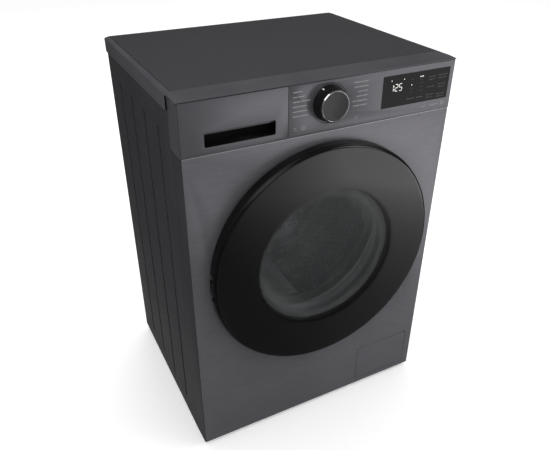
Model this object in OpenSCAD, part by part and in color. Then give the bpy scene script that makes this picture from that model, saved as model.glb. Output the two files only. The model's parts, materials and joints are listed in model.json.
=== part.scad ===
// Front load washing machine, slim body, built as an assembly of separate pieces.
// Origin: bottom centre of the whole machine. +Z is up, the door faces -Y,
// and +X is to the right of a person facing it.
// Depths called "d" run rearwards from the face of the front panel, and fy(d) turns one into Y.

/* [Cabinet] */
// Width over the top cover
body_w = 600; // [598:1:604]
// Height from the floor to the top cover
body_h = 850; // [848:1:854]
// Depth of the cabinet without the door
body_d = 480; // [478:1:484]
// Gap between the floor and the cabinet
ground_gap = 12; // [12:0.5:14]
// How far the side panels sit inside the top cover
side_inset = 3; // [3:0.5:4]
// Thickness of the cabinet's steel sheet
sheet = 1.2; // [1:0.1:1.4]

/* [Door and drum] */
// Height of the door's and the drum's centre
axis_z = 463; // [462:1:465]
// Radius of the door
door_r = 260; // [258:1:261]
// How far the door stands in front of the front panel
door_proud = 27; // [26.5:0.5:28]
// Radius of the porthole in the front panel
port_r = 176; // [176:0.5:177]
// Radius of the drum
drum_r = 236; // [234:1:237]

/* [Controls] */
// Height of the fascia's lower edge
fascia_z0 = 744; // [743:1:745]
// Height of the fascia's upper edge
fascia_z1 = 843.5; // [842:0.5:843.5]
// Left edge of the fascia, beside the drawer front
split_x = -87; // [-89:1:-86]
// Height of the programme knob's centre
knob_z = 799; // [797:1:801]

/* [Hidden] */
$fn = 72;

front_y = -(body_d - door_proud) / 2;
side_x = body_w / 2 - side_inset;
back_d = body_d;
band_d = 50;
band_taper = 0.8;
panel_half = side_x - band_taper - 1.5;
rear_d = body_d - 12;
function fy(d) = front_y + d;

// Rear wall pieces, as [x, z] of each hole's centre
inlet_at = [-215, 772];
outlet_at = [256, 690];
gland_at = [150, 790];
transit_at = [[-205, 300], [205, 300], [-205, 655], [205, 655]];
inlet_r = 13.2;
outlet_r = 11;

// Feet
foot_at = [[-252, 35], [252, 35], [-252, 440], [252, 440]];
stud_r = 5;

// Hinge of the door, behind its left rim
hinge_x = -(door_r - 9);
hinge_d = -14;
hinge_pin_r = 2.2;
knuckle_r = 4.4;
barrel_half = 17;
knuckle_z = [17.3, 30];
neck_z = 23.6;

// Door lock, its hook and the slot that the hook passes
hook_x = 198;
hook_d = -12;
hook_pin_r = 2;
slot_low = -9;
slot_high = 11;
inner_frame_r = 212;

// Service hatch
hatch_x = [124.5, 274.5];
hatch_z = [27, 130];
hatch_pin = [3.4, 33];
hatch_pin_r = 1.2;
hatch_mid = (hatch_x[0] + hatch_x[1]) / 2;
hatch_half = (hatch_x[1] - hatch_x[0]) / 2;
filter_at = [200, 80];

// Tub and drive
tub_r = 252;
tub_wall = 3;
neck_r = 185;
shaft_r = 12.5;

inlet_lean = 32;
tub_inlet = [-(tub_r + 12.4) * sin(inlet_lean), 250, axis_z + (tub_r + 12.4) * cos(inlet_lean)];
port_end = [(tub_r + 18.4) * cos(45), 120, axis_z - (tub_r + 18.4) * sin(45)];

// Dampers, as [side, d]; each leans outwards from the tub to the base
damper_at = [[-1, 150], [1, 150], [1, 300]];
damper_foot = [176, 56];
damper_head = [128, 214];

// Springs that the tub hangs on, and their wire and coil
spring_d = 210;
spring_top = [268, 737];
spring_low = [214, 632];
coil_turns = 10;
coil_r = 9;
coil_steps = 12;
wire_r = 1.8;

// Drawer and its housing
drawer_x = [-(side_x - band_taper - 1.4), split_x - 0.4];
tray_x = [-282, -100];
tray_z = [752, 832];
tray_d = [28, 292];
housing_d = [24, 318];
slot_x = [-251, -112.5];
slot_z = [757.5, 785.5];
slot_deep = 24;
grip_bar_d = 10;
grip_bar_z = 777.5;

// Display window in the fascia, and the knob with the recess round it
window_x = [119.8, 285.2];
window_z = [767.3, 831.4];
window_gap = 0.3;
knob_r = 35;
knob_front_r = 30.5;
knob_recess_r = 38.5;
cap_r = 29.1;
encoder_r = 3;

// Ribs pressed into each side panel
rib_pitch = 90;
rib_count = 4;
rib_first_d = 120;
rib_z = [58, 762];

// ---------------------------------------------------------------- helpers

// Turns a 2D shape drawn in X and Z into a slab between two depths
module slab(d0, d1) {
    translate([0, fy(d1), 0]) rotate([90, 0, 0]) linear_extrude(d1 - d0) children();
}

// Turns an outline of [radius, d] points about a level axis through x, z
module turned(points, x = 0, z = axis_z) {
    translate([x, front_y, z]) rotate([-90, 0, 0]) rotate_extrude() polygon(points);
}

// A round bar along the depth
module bar(x, z, d0, d1, r) {
    translate([x, fy(d1), z]) rotate([90, 0, 0]) cylinder(r = r, h = d1 - d0);
}

// A box between two corners given as [x, d, z]
module block(low, high) {
    translate([low[0], fy(low[1]), low[2]]) cube(high - low);
}

// A rectangle with round corners, from its low and high corners
module round_rect(low, high, r) {
    translate([low[0] + r, low[1]]) square([high[0] - low[0] - 2 * r, high[1] - low[1]]);
    translate([low[0], low[1] + r]) square([high[0] - low[0], high[1] - low[1] - 2 * r]);
    for (x = [low[0] + r, high[0] - r], y = [low[1] + r, high[1] - r]) translate([x, y]) circle(r);
}

function unit(v) = v / norm(v);
function normal_of(p, i) = let (s = unit(p[i + 1] - p[i])) [-s[1], s[0]];
function mitre(p, i) =
    i == 0 ? normal_of(p, 0) :
    i == len(p) - 1 ? normal_of(p, len(p) - 2) :
    let (s = normal_of(p, i - 1) + normal_of(p, i)) s * 2 / (s * s);
// Outline of a bent strip of thickness t along the points p
function ribbon(p, t) = concat(
    [for (i = [0:len(p) - 1]) p[i] + mitre(p, i) * t / 2],
    [for (i = [len(p) - 1:-1:0]) p[i] - mitre(p, i) * t / 2]);

// A point list with each corner of [x, d, z] points rounded over a length of up to reach
function corner(p, i, reach, steps) =
    let (to = min(reach, norm(p[i] - p[i - 1]) / 2.2, norm(p[i + 1] - p[i]) / 2.2),
        a = p[i] + unit(p[i - 1] - p[i]) * to, b = p[i] + unit(p[i + 1] - p[i]) * to)
    [for (k = [0:steps]) let (t = k / steps) a * (1 - t) * (1 - t) + p[i] * 2 * t * (1 - t) + b * t * t];
function rounded(p, reach, steps = 6) =
    concat([p[0]], [for (i = [1:len(p) - 2]) each corner(p, i, reach, steps)], [p[len(p) - 1]]);

// Frames carried along a path without twist, each as [side, up]
function heading(p, i) = unit(p[min(i + 1, len(p) - 1)] - p[max(i - 1, 0)]);
function flatten_on(v, along) = unit(v - along * (v * along));
function sides_along(p, i = 0, last = [0.31, 0.42, 0.85]) =
    let (here = flatten_on(last, heading(p, i)))
    i == len(p) - 1 ? [here] : concat([here], sides_along(p, i + 1, here));

// A round tube of radius r swept along points, with flat ends
module swept(p, r, n = 12) {
    side = sides_along(p);
    points = [for (i = [0:len(p) - 1]) let (a = side[i], b = cross(heading(p, i), a))
        for (k = [0:n - 1]) p[i] + r * (a * cos(360 * k / n) + b * sin(360 * k / n))];
    walls = [for (i = [0:len(p) - 2], k = [0:n - 1]) let (j = (k + 1) % n)
        [i * n + k, (i + 1) * n + k, (i + 1) * n + j, i * n + j]];
    polyhedron(points, concat(walls, [[for (k = [0:n - 1]) k],
        [for (k = [n - 1:-1:0]) (len(p) - 1) * n + k]]), convexity = 8);
}

// A hose along hand-placed [x, d, z] points
module hose(route, r, reach = 60) {
    translate([0, front_y, 0]) swept(rounded(route, reach), r);
}

// A wedge in X and Z about the drum's axis, between two angles
module wedge(from, to, reach = 400) {
    polygon([[0, axis_z],
        for (i = [0:4]) let (a = from + (to - from) * i / 4) [reach * cos(a), axis_z + reach * sin(a)]]);
}

// ---------------------------------------------------------------- cabinet

module base_pan() {
    half = side_x - band_taper - sheet - 1;
    z0 = ground_gap;
    z1 = z0 + 32;
    color("dimgray") {
        difference() {
            union() {
                difference() {
                    block([-half, 4, z0], [half, rear_d - 2, z1]);
                    block([-half + 3, 7, z0 + 3], [half - 3, rear_d - 5, z1 + 1]);
                    // the front wall is lower behind the service hatch
                    block([hatch_x[0] - 20, 3, z0 + 6], [half - 3, 8, z1 + 1]);
                }
                for (f = foot_at) translate([f[0], fy(f[1]), z0]) cylinder(r = 16, h = 26);
                for (d = [140, 330]) block([-half + 2, d - 2, z0 + 2], [half - 2, d + 2, z0 + 16]);
                for (x = [-90, 90]) block([x - 2, 6, z0 + 2], [x + 2, rear_d - 4, z0 + 12]);
            }
            for (f = foot_at) translate([f[0], fy(f[1]), z0 - 1]) cylinder(r = stud_r + 0.3, h = 40);
        }
        for (p = damper_at) damper_ears(p);
    }
}

module damper_ears(p) {
    for (s = [-17, 13])
        difference() {
            block([p[0] * damper_foot[0] - 12, p[1] + s, ground_gap + 3],
                [p[0] * damper_foot[0] + 12, p[1] + s + 4, damper_foot[1] + 9]);
            bar(p[0] * damper_foot[0], damper_foot[1], p[1] + s - 1, p[1] + s + 5, 4.3);
        }
}

module side_panel(side) {
    x_flat = side_x - sheet / 2;
    profile = [[x_flat - 16, fy(back_d - sheet / 2)], [x_flat, fy(back_d - sheet / 2)],
        [x_flat, fy(band_d)], [x_flat - band_taper, fy(2.2)], [x_flat - band_taper - 5, fy(2.2)]];
    color("#3a3a40") mirror([side < 0 ? 1 : 0, 0, 0]) difference() {
        union() {
            translate([0, 0, ground_gap]) linear_extrude(816 - ground_gap) polygon(ribbon(profile, sheet));
            for (i = [0:rib_count - 1]) rib(rib_first_d + i * rib_pitch, 7, -4.2, -sheet);
        }
        for (i = [0:rib_count - 1]) rib(rib_first_d + i * rib_pitch, 5, -3, 1);
        // corner that the fascia's wing fills
        block([side_x - 30, -1, fascia_z0 - 0.6], [side_x + 1, band_d, body_h]);
    }
}

// One pressed rib: a slot with round ends, between two offsets from the outer face
module rib(d, half, low, high) {
    translate([side_x + low, fy(d), 0]) rotate([90, 0, 90]) linear_extrude(high - low) {
        translate([-half, rib_z[0]]) square([2 * half, rib_z[1] - rib_z[0]]);
        for (z = rib_z) translate([0, z]) circle(half);
    }
}

module rear_panel() {
    half = side_x - sheet - 0.4;
    color("#9a9aa0") difference() {
        slab(rear_d - sheet, rear_d) translate([-half, ground_gap + 33]) square([2 * half, 770]);
        bar(0, axis_z, rear_d - 5, rear_d + 5, 170);
        for (t = transit_at) bar(t[0], t[1], rear_d - 5, rear_d + 5, 14);
        bar(inlet_at[0], inlet_at[1], rear_d - 5, rear_d + 5, 17);
        bar(outlet_at[0], outlet_at[1], rear_d - 5, rear_d + 5, 13);
        bar(gland_at[0], gland_at[1], rear_d - 5, rear_d + 5, 8.2);
    }
}

module rear_cover() {
    color("#9a9aa0")
        turned(ribbon([[186, rear_d + 0.7], [172, rear_d + 0.7], [164, rear_d + 7], [120, rear_d + 7],
            [112, rear_d + 4], [0, rear_d + 4]], sheet));
}

module top_panel() {
    color("#414146")
        block([-body_w / 2 + 12, band_d + 1, body_h - 3], [body_w / 2 - 12, back_d - 7, body_h]);
}

module top_trim() {
    half = body_w / 2;
    skirt_z = 817;
    color("#46464b") difference() {
        union() {
            block([-half, band_d, skirt_z], [half, back_d, body_h]);
            block([-half + 2, 0, fascia_z1 + 0.5], [half - 2, band_d, body_h]);
        }
        // slope over the front strip
        translate([-half - 1, 0, 0]) rotate([90, 0, 90]) linear_extrude(body_w + 2)
            polygon([[fy(-1), body_h - 3.6], [fy(band_d), body_h], [fy(band_d), body_h + 1],
                [fy(-1), body_h + 1]]);
        // slope along each side
        for (s = [0, 1]) mirror([s, 0, 0]) translate([0, fy(back_d + 1), 0]) rotate([90, 0, 0])
            linear_extrude(back_d + 2)
                polygon([[half + 1, body_h - 3], [half - 11, body_h], [half - 11, body_h + 1],
                    [half + 1, body_h + 1]]);
        // seat for the top panel and the hollow under it
        block([-half + 10.8, band_d, body_h - 3.3], [half - 10.8, back_d - 6, body_h + 1]);
        block([-half + 24, band_d + 14, skirt_z - 1], [half - 24, back_d - 20, body_h + 1]);
        block([-half + 2.5, band_d - 1, skirt_z - 1], [half - 2.5, back_d - 2.5, body_h - 7]);
    }
}

module front_panel() {
    z1 = fascia_z0 - 0.6;
    color("#55555a") {
        difference() {
            union() {
                slab(0, sheet) translate([-panel_half, ground_gap]) square([2 * panel_half, z1 - ground_gap]);
                for (s = [-1, 1]) block([s * panel_half - (s > 0 ? sheet : 0), 0, ground_gap],
                    [s * panel_half + (s > 0 ? 0 : sheet), 1.5, z1]);
                // top edge folded back under the fascia
                block([-panel_half + 7, 0, z1 - sheet], [panel_half - 7, 12, z1]);
                turned([[port_r - 2, 0], [port_r - 0.8, 0], [port_r - 0.8, 10], [port_r - 2, 10]]);
                for (s = [-1, 1]) hatch_bracket(s);
            }
            bar(0, axis_z, -1, 12, port_r - 2);
            slab(-1, 5) round_rect([hatch_x[0] - 1, hatch_z[0] - 1], [hatch_x[1] + 1, hatch_z[1] + 1], 6);
            for (s = [-1, 1]) block([hinge_x + 4, -1, axis_z + s * neck_z - 8],
                [hinge_x + 22, 5, axis_z + s * neck_z + 8]);
            block([hook_x + slot_low, -1, axis_z - 12], [hook_x + slot_high, 5, axis_z + 12]);
        }
        for (s = [-1, 1]) hatch_pivot(s);
    }
}

// Bracket behind the panel beside the service hatch
module hatch_bracket(side) {
    near = hatch_half + 2.5;
    far = hatch_half + 11;
    x0 = hatch_mid + (side > 0 ? near : -far);
    block([x0, 1, hatch_pin[1] - 5], [x0 + far - near, 6.4, hatch_pin[1] + 5]);
}

// Pin that the hatch turns on
module hatch_pivot(side) {
    x0 = hatch_mid + (side > 0 ? hatch_half - 12 : -hatch_half - 4);
    translate([x0, fy(hatch_pin[0]), hatch_pin[1]]) rotate([0, 90, 0]) cylinder(r = hatch_pin_r, h = 16);
}

module fascia_wing(side) {
    outer = side_x - band_taper;
    mirror([side < 0 ? 1 : 0, 0, 0]) translate([0, 0, fascia_z0]) linear_extrude(fascia_z1 - fascia_z0)
        polygon([[outer - 1, fy(3.2)], [outer - 1, fy(0)], [outer + 0.2, fy(0.8)],
            [side_x, fy(band_d - 0.4)], [side_x - 2.4, fy(band_d - 0.4)]]);
}

module control_fascia() {
    z0 = fascia_z0;
    z1 = fascia_z1;
    outer = side_x - band_taper;
    color("#626268") difference() {
        union() {
            slab(0, 2.5) translate([split_x, z0]) square([outer - 1 - split_x, z1 - z0]);
            fascia_wing(1);
            fascia_wing(-1);
            // flanges behind the plate, and rails that carry on behind the drawer front
            block([split_x, 2, z1 - 2], [outer, 22, z1]);
            block([split_x, 2, z0], [outer, 22, z0 + 2]);
            block([split_x, 2, z0], [split_x + 2, 22, z1]);
            block([-outer, 16, z1 - 2], [split_x + 1, 22, z1]);
            block([-outer, 16, z0], [split_x + 1, 22, z0 + 2]);
            bar(0, knob_z, 2, 10, 9);
        }
        slab(-1, 4) round_rect([window_x[0] - window_gap, window_z[0] - window_gap],
            [window_x[1] + window_gap, window_z[1] + window_gap], 1.5);
        bar(0, knob_z, -1, 12, encoder_r + 1);
        bar(0, knob_z, -1, 1, knob_recess_r);
    }
}

module display_window() {
    color("#1c1c20") slab(0.1, 2.3)
        round_rect([window_x[0], window_z[0]], [window_x[1], window_z[1]], 1.3);
}

module display_board() {
    color("darkgreen") difference() {
        block([-62, 13, 752], [288, 14.6, 838]);
        for (p = [[-55, 758], [-55, 832], [281, 758], [281, 832]]) bar(p[0], p[1], 12, 16, 1.8);
    }
    // rotary encoder for the knob: body, bush and shaft
    color("silver") {
        block([-7, 14.6, knob_z - 7], [7, 19, knob_z + 7]);
        turned([[0, 10.5], [6, 10.5], [6, 13], [0, 13]], 0, knob_z);
        bar(0, knob_z, -9, 10.5, encoder_r);
    }
    // light box under the display glass, and parts on the back
    color("#202020") {
        block([122, 3, 769], [283, 12.9, 829]);
        block([40, 14.7, 770], [75, 18, 800]);
        block([160, 14.7, 780], [240, 22, 815]);
    }
}

module cross_braces() {
    half = side_x - sheet - 0.3;
    color("#8c8c90") {
        // channel across the cabinet behind the dispenser
        difference() {
            block([-half, 336, 796], [half, 366, 814]);
            block([-half - 1, 338, 795], [half + 1, 364, 812]);
        }
        // hangers for the suspension springs
        for (s = [-1, 1]) difference() {
            block([s * 272 - 20, spring_d - 10, 733], [s * 272 + 20, spring_d + 10, 737]);
            translate([s * spring_top[0], fy(spring_d), 730]) cylinder(r = 4.5, h = 10);
        }
    }
}

module power_board() {
    color("#d8d8d0") difference() {
        block([112, 150, 748], [286, 320, 790]);
        block([115, 153, 751], [283, 317, 791]);
    }
    color("darkgreen") block([116, 156, 760], [282, 314, 761.6]);
    color("#303030") {
        block([130, 170, 761.7], [160, 200, 785]);
        block([180, 180, 761.7], [210, 240, 780]);
        translate([250, fy(200), 761.7]) cylinder(r = 12, h = 24);
        translate([250, fy(240), 761.7]) cylinder(r = 12, h = 24);
    }
}

module inlet_valve() {
    x = inlet_at[0];
    z = inlet_at[1];
    color("ivory") {
        // threaded inlet with its flange, which is clamped to the rear wall
        turned([[9, rear_d - 22], [16.4, rear_d - 22], [16.4, rear_d + 1], [inlet_r, rear_d + 1],
            [inlet_r, back_d], [9, back_d]], x, z);
        turned([[0, rear_d - 26], [20, rear_d - 26], [20, rear_d - 22.2], [0, rear_d - 22.2]], x, z);
        block([x - 16, rear_d - 62, z - 14], [x + 16, rear_d - 26.1, z + 14]);
        bar(x, z, rear_d - 84, rear_d - 62.1, 6);
    }
    color("steelblue") translate([x, fy(rear_d - 44), z + 14.1]) cylinder(r = 13, h = 26);
}

module inlet_hose() {
    x = inlet_at[0];
    color("#2c2c2c") hose([[x, rear_d - 84.4, inlet_at[1]], [x, housing_d[1] + 34, inlet_at[1]],
        [x + 15, housing_d[1] + 24, 786], [x + 15, housing_d[1] + 0.4, 786]], 8, 12);
}

module dispenser_housing() {
    x0 = tray_x[0] - 8;
    x1 = tray_x[1] + 5;
    color("#e4e4e0") difference() {
        block([x0, housing_d[0], fascia_z0 + 2.3], [x1, housing_d[1], 841]);
        block([x0 + 2, housing_d[0] - 1, fascia_z0 + 4.3], [x1 - 2, housing_d[1] - 2, 839]);
        // outlet to the tub
        translate([-160, fy(250), fascia_z0 - 5]) cylinder(r = 16, h = 20);
    }
}

module dispenser_hose() {
    // from the dispenser's outlet to the tub's inlet
    out = 16 * [-sin(inlet_lean), 0, cos(inlet_lean)];
    color("#2c2c2c")
        hose([[-160, 250, fascia_z0 + 2], [-160, 250, 722], tub_inlet + out, tub_inlet], 15, 8);
}

module pressure_sensor() {
    color("#e8e8e8") {
        translate([272, fy(120), 700]) rotate([0, 90, 0]) cylinder(r = 22, h = 14);
        block([272.1, 92, 723], [285.9, 148, 735]);
    }
    // air tube from the tub's pressure port
    color("#707070")
        hose([[279, 120, 677.6], [279, 120, 330], [270, 120, 250], port_end + [14, 0, -14], port_end], 3, 40);
}

module door_lock() {
    color("#e8e8e0") difference() {
        block([hook_x - 14.6, sheet + 0.2, axis_z - 34], [hook_x + 26, 34, axis_z + 34]);
        block([hook_x + slot_low, 0, axis_z - 12], [hook_x + slot_high, 28, axis_z + 12]);
    }
    color("#404040") block([hook_x + 26.2, 8, axis_z - 14], [hook_x + 34, 28, axis_z + 14]);
}

module hinge_bracket() {
    tall = knuckle_z[1] - knuckle_z[0];
    color("#8a8a8e") {
        difference() {
            union() {
                block([hinge_x - 6, sheet + 0.1, axis_z - 62], [hinge_x + 44, sheet + 3.1, axis_z + 62]);
                // swan necks from the plate to the knuckles
                for (s = [0, 1]) mirror_z(s) translate([0, 0, axis_z + knuckle_z[0]]) linear_extrude(tall) {
                    polygon([[hinge_x - 2.6, fy(hinge_d + 3)], [hinge_x + 3.2, fy(hinge_d - 2.6)],
                        [hinge_x + 18, fy(-1)], [hinge_x + 18, fy(sheet + 1)], [hinge_x + 8, fy(sheet + 1)],
                        [hinge_x + 8, fy(-3)]]);
                    translate([hinge_x, fy(hinge_d)]) circle(knuckle_r);
                }
            }
            translate([hinge_x, fy(hinge_d), axis_z - 60]) cylinder(r = hinge_pin_r - 0.2, h = 120);
            for (s = [-50, 0, 50]) bar(hinge_x + 34, axis_z + s, 0, 6, 2.6);
        }
        // hinge pin
        translate([hinge_x, fy(hinge_d), axis_z - knuckle_z[1]])
            cylinder(r = hinge_pin_r, h = 2 * knuckle_z[1]);
    }
}

// Draws its children mirrored through the door's level middle plane where on is 1
module mirror_z(on) {
    translate([0, 0, on * 2 * axis_z]) mirror([0, 0, on]) children();
}

module door_gasket() {
    r = port_r;
    color("#6e6e72") difference() {
        turned([
            // lip over the panel's rim, and the outer side of the fold
            [r - 6, 0.6], [r - 2.1, 0.6], [r - 2.1, 10.2], [r - 0.7, 10.2], [r - 0.7, 2.4], [r + 3, 2.4],
            [r + 3, 14], [r - 2, 17], [156, 25], [156, 29], [164, 35], [r + 4, 37],
            // collar on the tub's neck
            [r + 4, 42], [neck_r + 4, 42], [neck_r + 4, 58], [neck_r + 0.2, 58], [neck_r + 0.2, 45.5],
            // inner side of the fold
            [r + 0.5, 45.5], [r + 0.5, 40.5], [162, 38.5], [152.5, 31], [150.5, 24], [r - 6, 13]]);
        // drain holes at the lowest fold
        for (a = [-12, 0, 12]) rotate_at_axis(a) translate([0, fy(38), axis_z - 184]) cylinder(r = 3, h = 14);
    }
}

module rotate_at_axis(a) {
    translate([0, 0, axis_z]) rotate([0, a, 0]) translate([0, 0, -axis_z]) children();
}

module gasket_clamps() {
    color("silver") {
        turned([[port_r + 3.2, 5], [port_r + 4.8, 5], [port_r + 4.8, 10], [port_r + 3.2, 10]]);
        turned([[neck_r + 4.2, 47], [neck_r + 5.8, 47], [neck_r + 5.8, 53], [neck_r + 4.2, 53]]);
    }
}

// ---------------------------------------------------------------- tub

module tub_front() {
    mid = tub_r - tub_wall / 2;
    color("#b4b4b0") {
        difference() {
            union() {
                turned(ribbon([[neck_r - 1.5, 47], [neck_r - 1.5, 64], [mid, 64], [mid, 231],
                    [mid + 11, 231]], tub_wall));
                // drain outlet
                translate([40, fy(150), 186]) cylinder(r = 20, h = 32);
                // lugs for dampers and springs
                for (p = damper_at) if (p[1] < 230) damper_lugs(p);
                for (s = [-1, 1]) spring_lug(s);
                // port for the pressure sensor's air tube
                rotate_at_axis(45) translate([tub_r - 2, fy(120), axis_z]) rotate([0, 90, 0])
                    cylinder(r = 6, h = 20);
            }
            translate([40, fy(150), 184]) cylinder(r = 16, h = 44);
            turned([[0, 66], [tub_r - tub_wall - 0.01, 66], [tub_r - tub_wall - 0.01, 240], [0, 240]]);
        }
    }
}

module damper_lugs(p) {
    for (s = [-17, 13]) difference() {
        block([p[0] * damper_head[0] - 11, p[1] + s, damper_head[1] - 10],
            [p[0] * damper_head[0] + 11, p[1] + s + 4, damper_head[1] + 36]);
        bar(p[0] * damper_head[0], damper_head[1], p[1] + s - 1, p[1] + s + 5, 4.3);
    }
}

module spring_lug(side) {
    difference() {
        block([side * spring_low[0] - 8, spring_d - 4, spring_low[1] - 52],
            [side * spring_low[0] + 8, spring_d + 4, spring_low[1] + 5]);
        bar(side * spring_low[0], spring_low[1] - 4, spring_d - 6, spring_d + 6, 5);
    }
}

module tub_rear() {
    mid = tub_r - tub_wall / 2;
    color("#b4b4b0") {
        difference() {
            union() {
                turned(ribbon([[mid + 11, 235], [mid, 235], [mid, 408], [39, 408]], tub_wall));
                // bearing housing
                turned([[21, 394], [38, 394], [40, 409], [37, 442], [21, 442]]);
                for (i = [0:23]) rotate_at_axis(i * 15)
                    translate([-1.5, fy(409), axis_z + 136]) cube([3, 16, 108]);
                for (p = damper_at) if (p[1] > 230) damper_lugs(p);
                // inlet for the dispenser hose
                rotate_at_axis(-inlet_lean) translate([0, fy(250), axis_z + tub_r - 2])
                    cylinder(r = 13, h = 14);
            }
            turned([[0, 390], [26, 390], [26, 409.2], [0, 409.2]]);
            turned([[0, 426.8], [23.5, 426.8], [23.5, 444], [0, 444]]);
            turned([[0, 234], [tub_r - tub_wall, 234], [tub_r - tub_wall, 393.9], [0, 393.9]]);
            turned([[41, 393], [tub_r - tub_wall, 393], [tub_r - tub_wall, 406.5], [41, 406.5]]);
            block([-46, 400, axis_z - 248], [46, 430, axis_z - 234]);
        }
    }
}

module counterweights() {
    ring = [[194, 22], [248, 22], [252, 28], [252, 62.2], [194, 62.2]];
    color("#8f8f8a") for (a = [[52, 128], [218, 322]])
        intersection() {
            turned(ring);
            slab(10, 70) wedge(a[0], a[1]);
        }
}

// Points of a spring of a given length: a hook through the lug, the coil, and a hook over the hanger
function spring_points(length) = concat(
    rounded([[0, 7.5, 9], [0, 7.5, 0], [0, -7.5, 0], [0, -7.5, 13], [coil_r, 0, 18]], 4, 3),
    [for (i = [1:coil_turns * coil_steps]) let (t = i / coil_steps)
        [coil_r * cos(360 * t), coil_r * sin(360 * t), 18 + (length - 38) * t / coil_turns]],
    rounded([[coil_r - 2, 4, length - 17], [0, 0, length - 12], [0, 0, length + 8],
        [-7, 0, length + 8]], 4, 3));

module suspension_springs() {
    run = [spring_top[0] - spring_low[0], spring_top[1] - spring_low[1]];
    lean = atan2(run[0], run[1]);
    color("silver") for (s = [0, 1]) mirror([s, 0, 0])
        translate([spring_low[0], fy(spring_d), spring_low[1] - 4]) rotate([0, lean, 0])
            swept(spring_points(norm(run)), wire_r, 6);
}

module dampers() {
    run = [damper_foot[0] - damper_head[0], damper_head[1] - damper_foot[1]];
    length = norm(run);
    lean = atan2(run[0], run[1]);
    color("#2a2a2e") for (p = damper_at)
        translate([p[0] * damper_foot[0], fy(p[1]), damper_foot[1]]) rotate([0, -p[0] * lean, 0]) {
            // barrel with its foot eye, and the rod with its head eye
            difference() {
                union() {
                    translate([0, 0, 14]) cylinder(r = 15, h = 86);
                    translate([-8, -9, 0]) cube([16, 18, 16]);
                    translate([0, 9, 0]) rotate([90, 0, 0]) cylinder(r = 9, h = 18);
                }
                translate([0, 10, 0]) rotate([90, 0, 0]) cylinder(r = 4.2, h = 20);
                translate([0, 0, 40]) cylinder(r = 6.3, h = 70);
            }
            difference() {
                union() {
                    translate([0, 0, 44]) cylinder(r = 6, h = length - 50);
                    translate([0, 9, length]) rotate([90, 0, 0]) cylinder(r = 9, h = 18);
                }
                translate([0, 10, length]) rotate([90, 0, 0]) cylinder(r = 4.2, h = 20);
            }
            for (h = [0, length]) translate([0, 20, h]) rotate([90, 0, 0]) cylinder(r = 4, h = 40);
        }
}

module stator() {
    color("#b87333") difference() {
        union() {
            turned([[62, 414], [84, 414], [84, 434], [62, 434]]);
            for (i = [0:35]) rotate_at_axis(i * 10) {
                translate([-3, fy(417), axis_z + 83]) cube([6, 14, 27]);
                translate([-7, fy(416), axis_z + 109.5]) cube([14, 16, 5]);
            }
        }
        for (i = [0:5]) rotate_at_axis(i * 60) bar(0, axis_z + 73, 410, 440, 3.2);
    }
}

module heater() {
    z = axis_z - 240.5;
    color("#c0c0c4") {
        for (s = [-1, 1]) bar(s * 34, z, 260, 409.5, 3);
        translate([-34, fy(260), z]) rotate([0, 90, 0]) cylinder(r = 3, h = 68);
    }
    color("#3a3a3a") difference() {
        block([-45.5, 409.6, axis_z - 247.5], [45.5, 417, axis_z - 234.5]);
        bar(0, axis_z - 241, 405, 420, 2);
    }
}

module drain_pump() {
    x = filter_at[0];
    z = filter_at[1];
    color("#c8c8c4") {
        difference() {
            union() {
                turned([[0, 14], [31, 14], [31, 70], [0, 70]], x, z);
                translate([x - 70, fy(48), z - 6]) rotate([0, 90, 0]) cylinder(r = 20, h = 48);
                translate([x + 12, fy(56), z + 20]) cylinder(r = 11, h = 40);
                block([x - 24, 26, ground_gap + 32.4], [x + 24, 66, z - 20]);
            }
            bar(x, z, 12, 64, 25.3);
        }
        // hose stub for emptying by hand, beside the filter
        bar(x - 50, z - 20, 12, 26, 6);
    }
    color("#303034") {
        turned([[0, 70.2], [27, 70.2], [27, 122], [0, 122]], x, z);
        block([x - 12, 122.2, z - 14], [x + 12, 130, z + 14]);
    }
}

module sump_hose() {
    color("#2c2c2c") hose([[40, 150, 185.7], [40, 150, 120], [66, 48, filter_at[1] - 6],
        [filter_at[0] - 70.3, 48, filter_at[1] - 6]], 21, 40);
}

module drain_hose() {
    x = outlet_at[0];
    z = outlet_at[1];
    pump_x = filter_at[0] + 12;
    color("#6a6a6e") {
        hose([[pump_x, 56, filter_at[1] + 60.3], [pump_x, 56, 185], [275, 130, 196], [275, 436, 204],
            [274, 445, 640], [x, 430, z], [x, rear_d - 12, z]], 11);
        // spigot that passes the rear wall
        turned([[7, rear_d - 11.7], [12.4, rear_d - 11.7], [12.4, rear_d + 1], [outlet_r, rear_d + 1],
            [outlet_r, back_d], [7, back_d]], x, z);
    }
}

module cord_gland() {
    x = gland_at[0];
    z = gland_at[1];
    color("#242424") turned([[3.6, rear_d - 10], [8, rear_d - 10], [8, rear_d + 0.2], [12, rear_d + 0.2],
        [12, rear_d + 3], [7, rear_d + 9], [3.6, rear_d + 9]], x, z);
}

module ring_bearing(d0, width, inner, outer) {
    mid = (inner + outer) / 2;
    turned([[mid + 3.4, d0], [outer, d0], [outer, d0 + width], [mid + 3.4, d0 + width]]);
    turned([[inner, d0], [mid - 3.4, d0], [mid - 3.4, d0 + width], [inner, d0 + width]]);
    for (i = [0:8]) rotate_at_axis(i * 40) translate([0, fy(d0 + width / 2), axis_z + mid]) sphere(r = 3.3);
}

module bearing_set() {
    color("silver") {
        ring_bearing(394.5, 14.5, shaft_r + 0.05, 25.95);
        ring_bearing(427, 14, shaft_r + 0.05, 23.45);
    }
    // shaft seal on the water side
    color("#222222") turned([[shaft_r + 0.1, 392.2], [25, 392.2], [25, 394.3], [shaft_r + 0.1, 394.3]]);
}

module transit_caps() {
    color("#77777c") for (t = transit_at)
        turned([[0, rear_d - 6], [13.6, rear_d - 6], [13.6, rear_d + 0.1], [18, rear_d + 0.1],
            [18, rear_d + 1.5], [15, rear_d + 3], [0, rear_d + 3]], t[0], t[1]);
}

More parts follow.
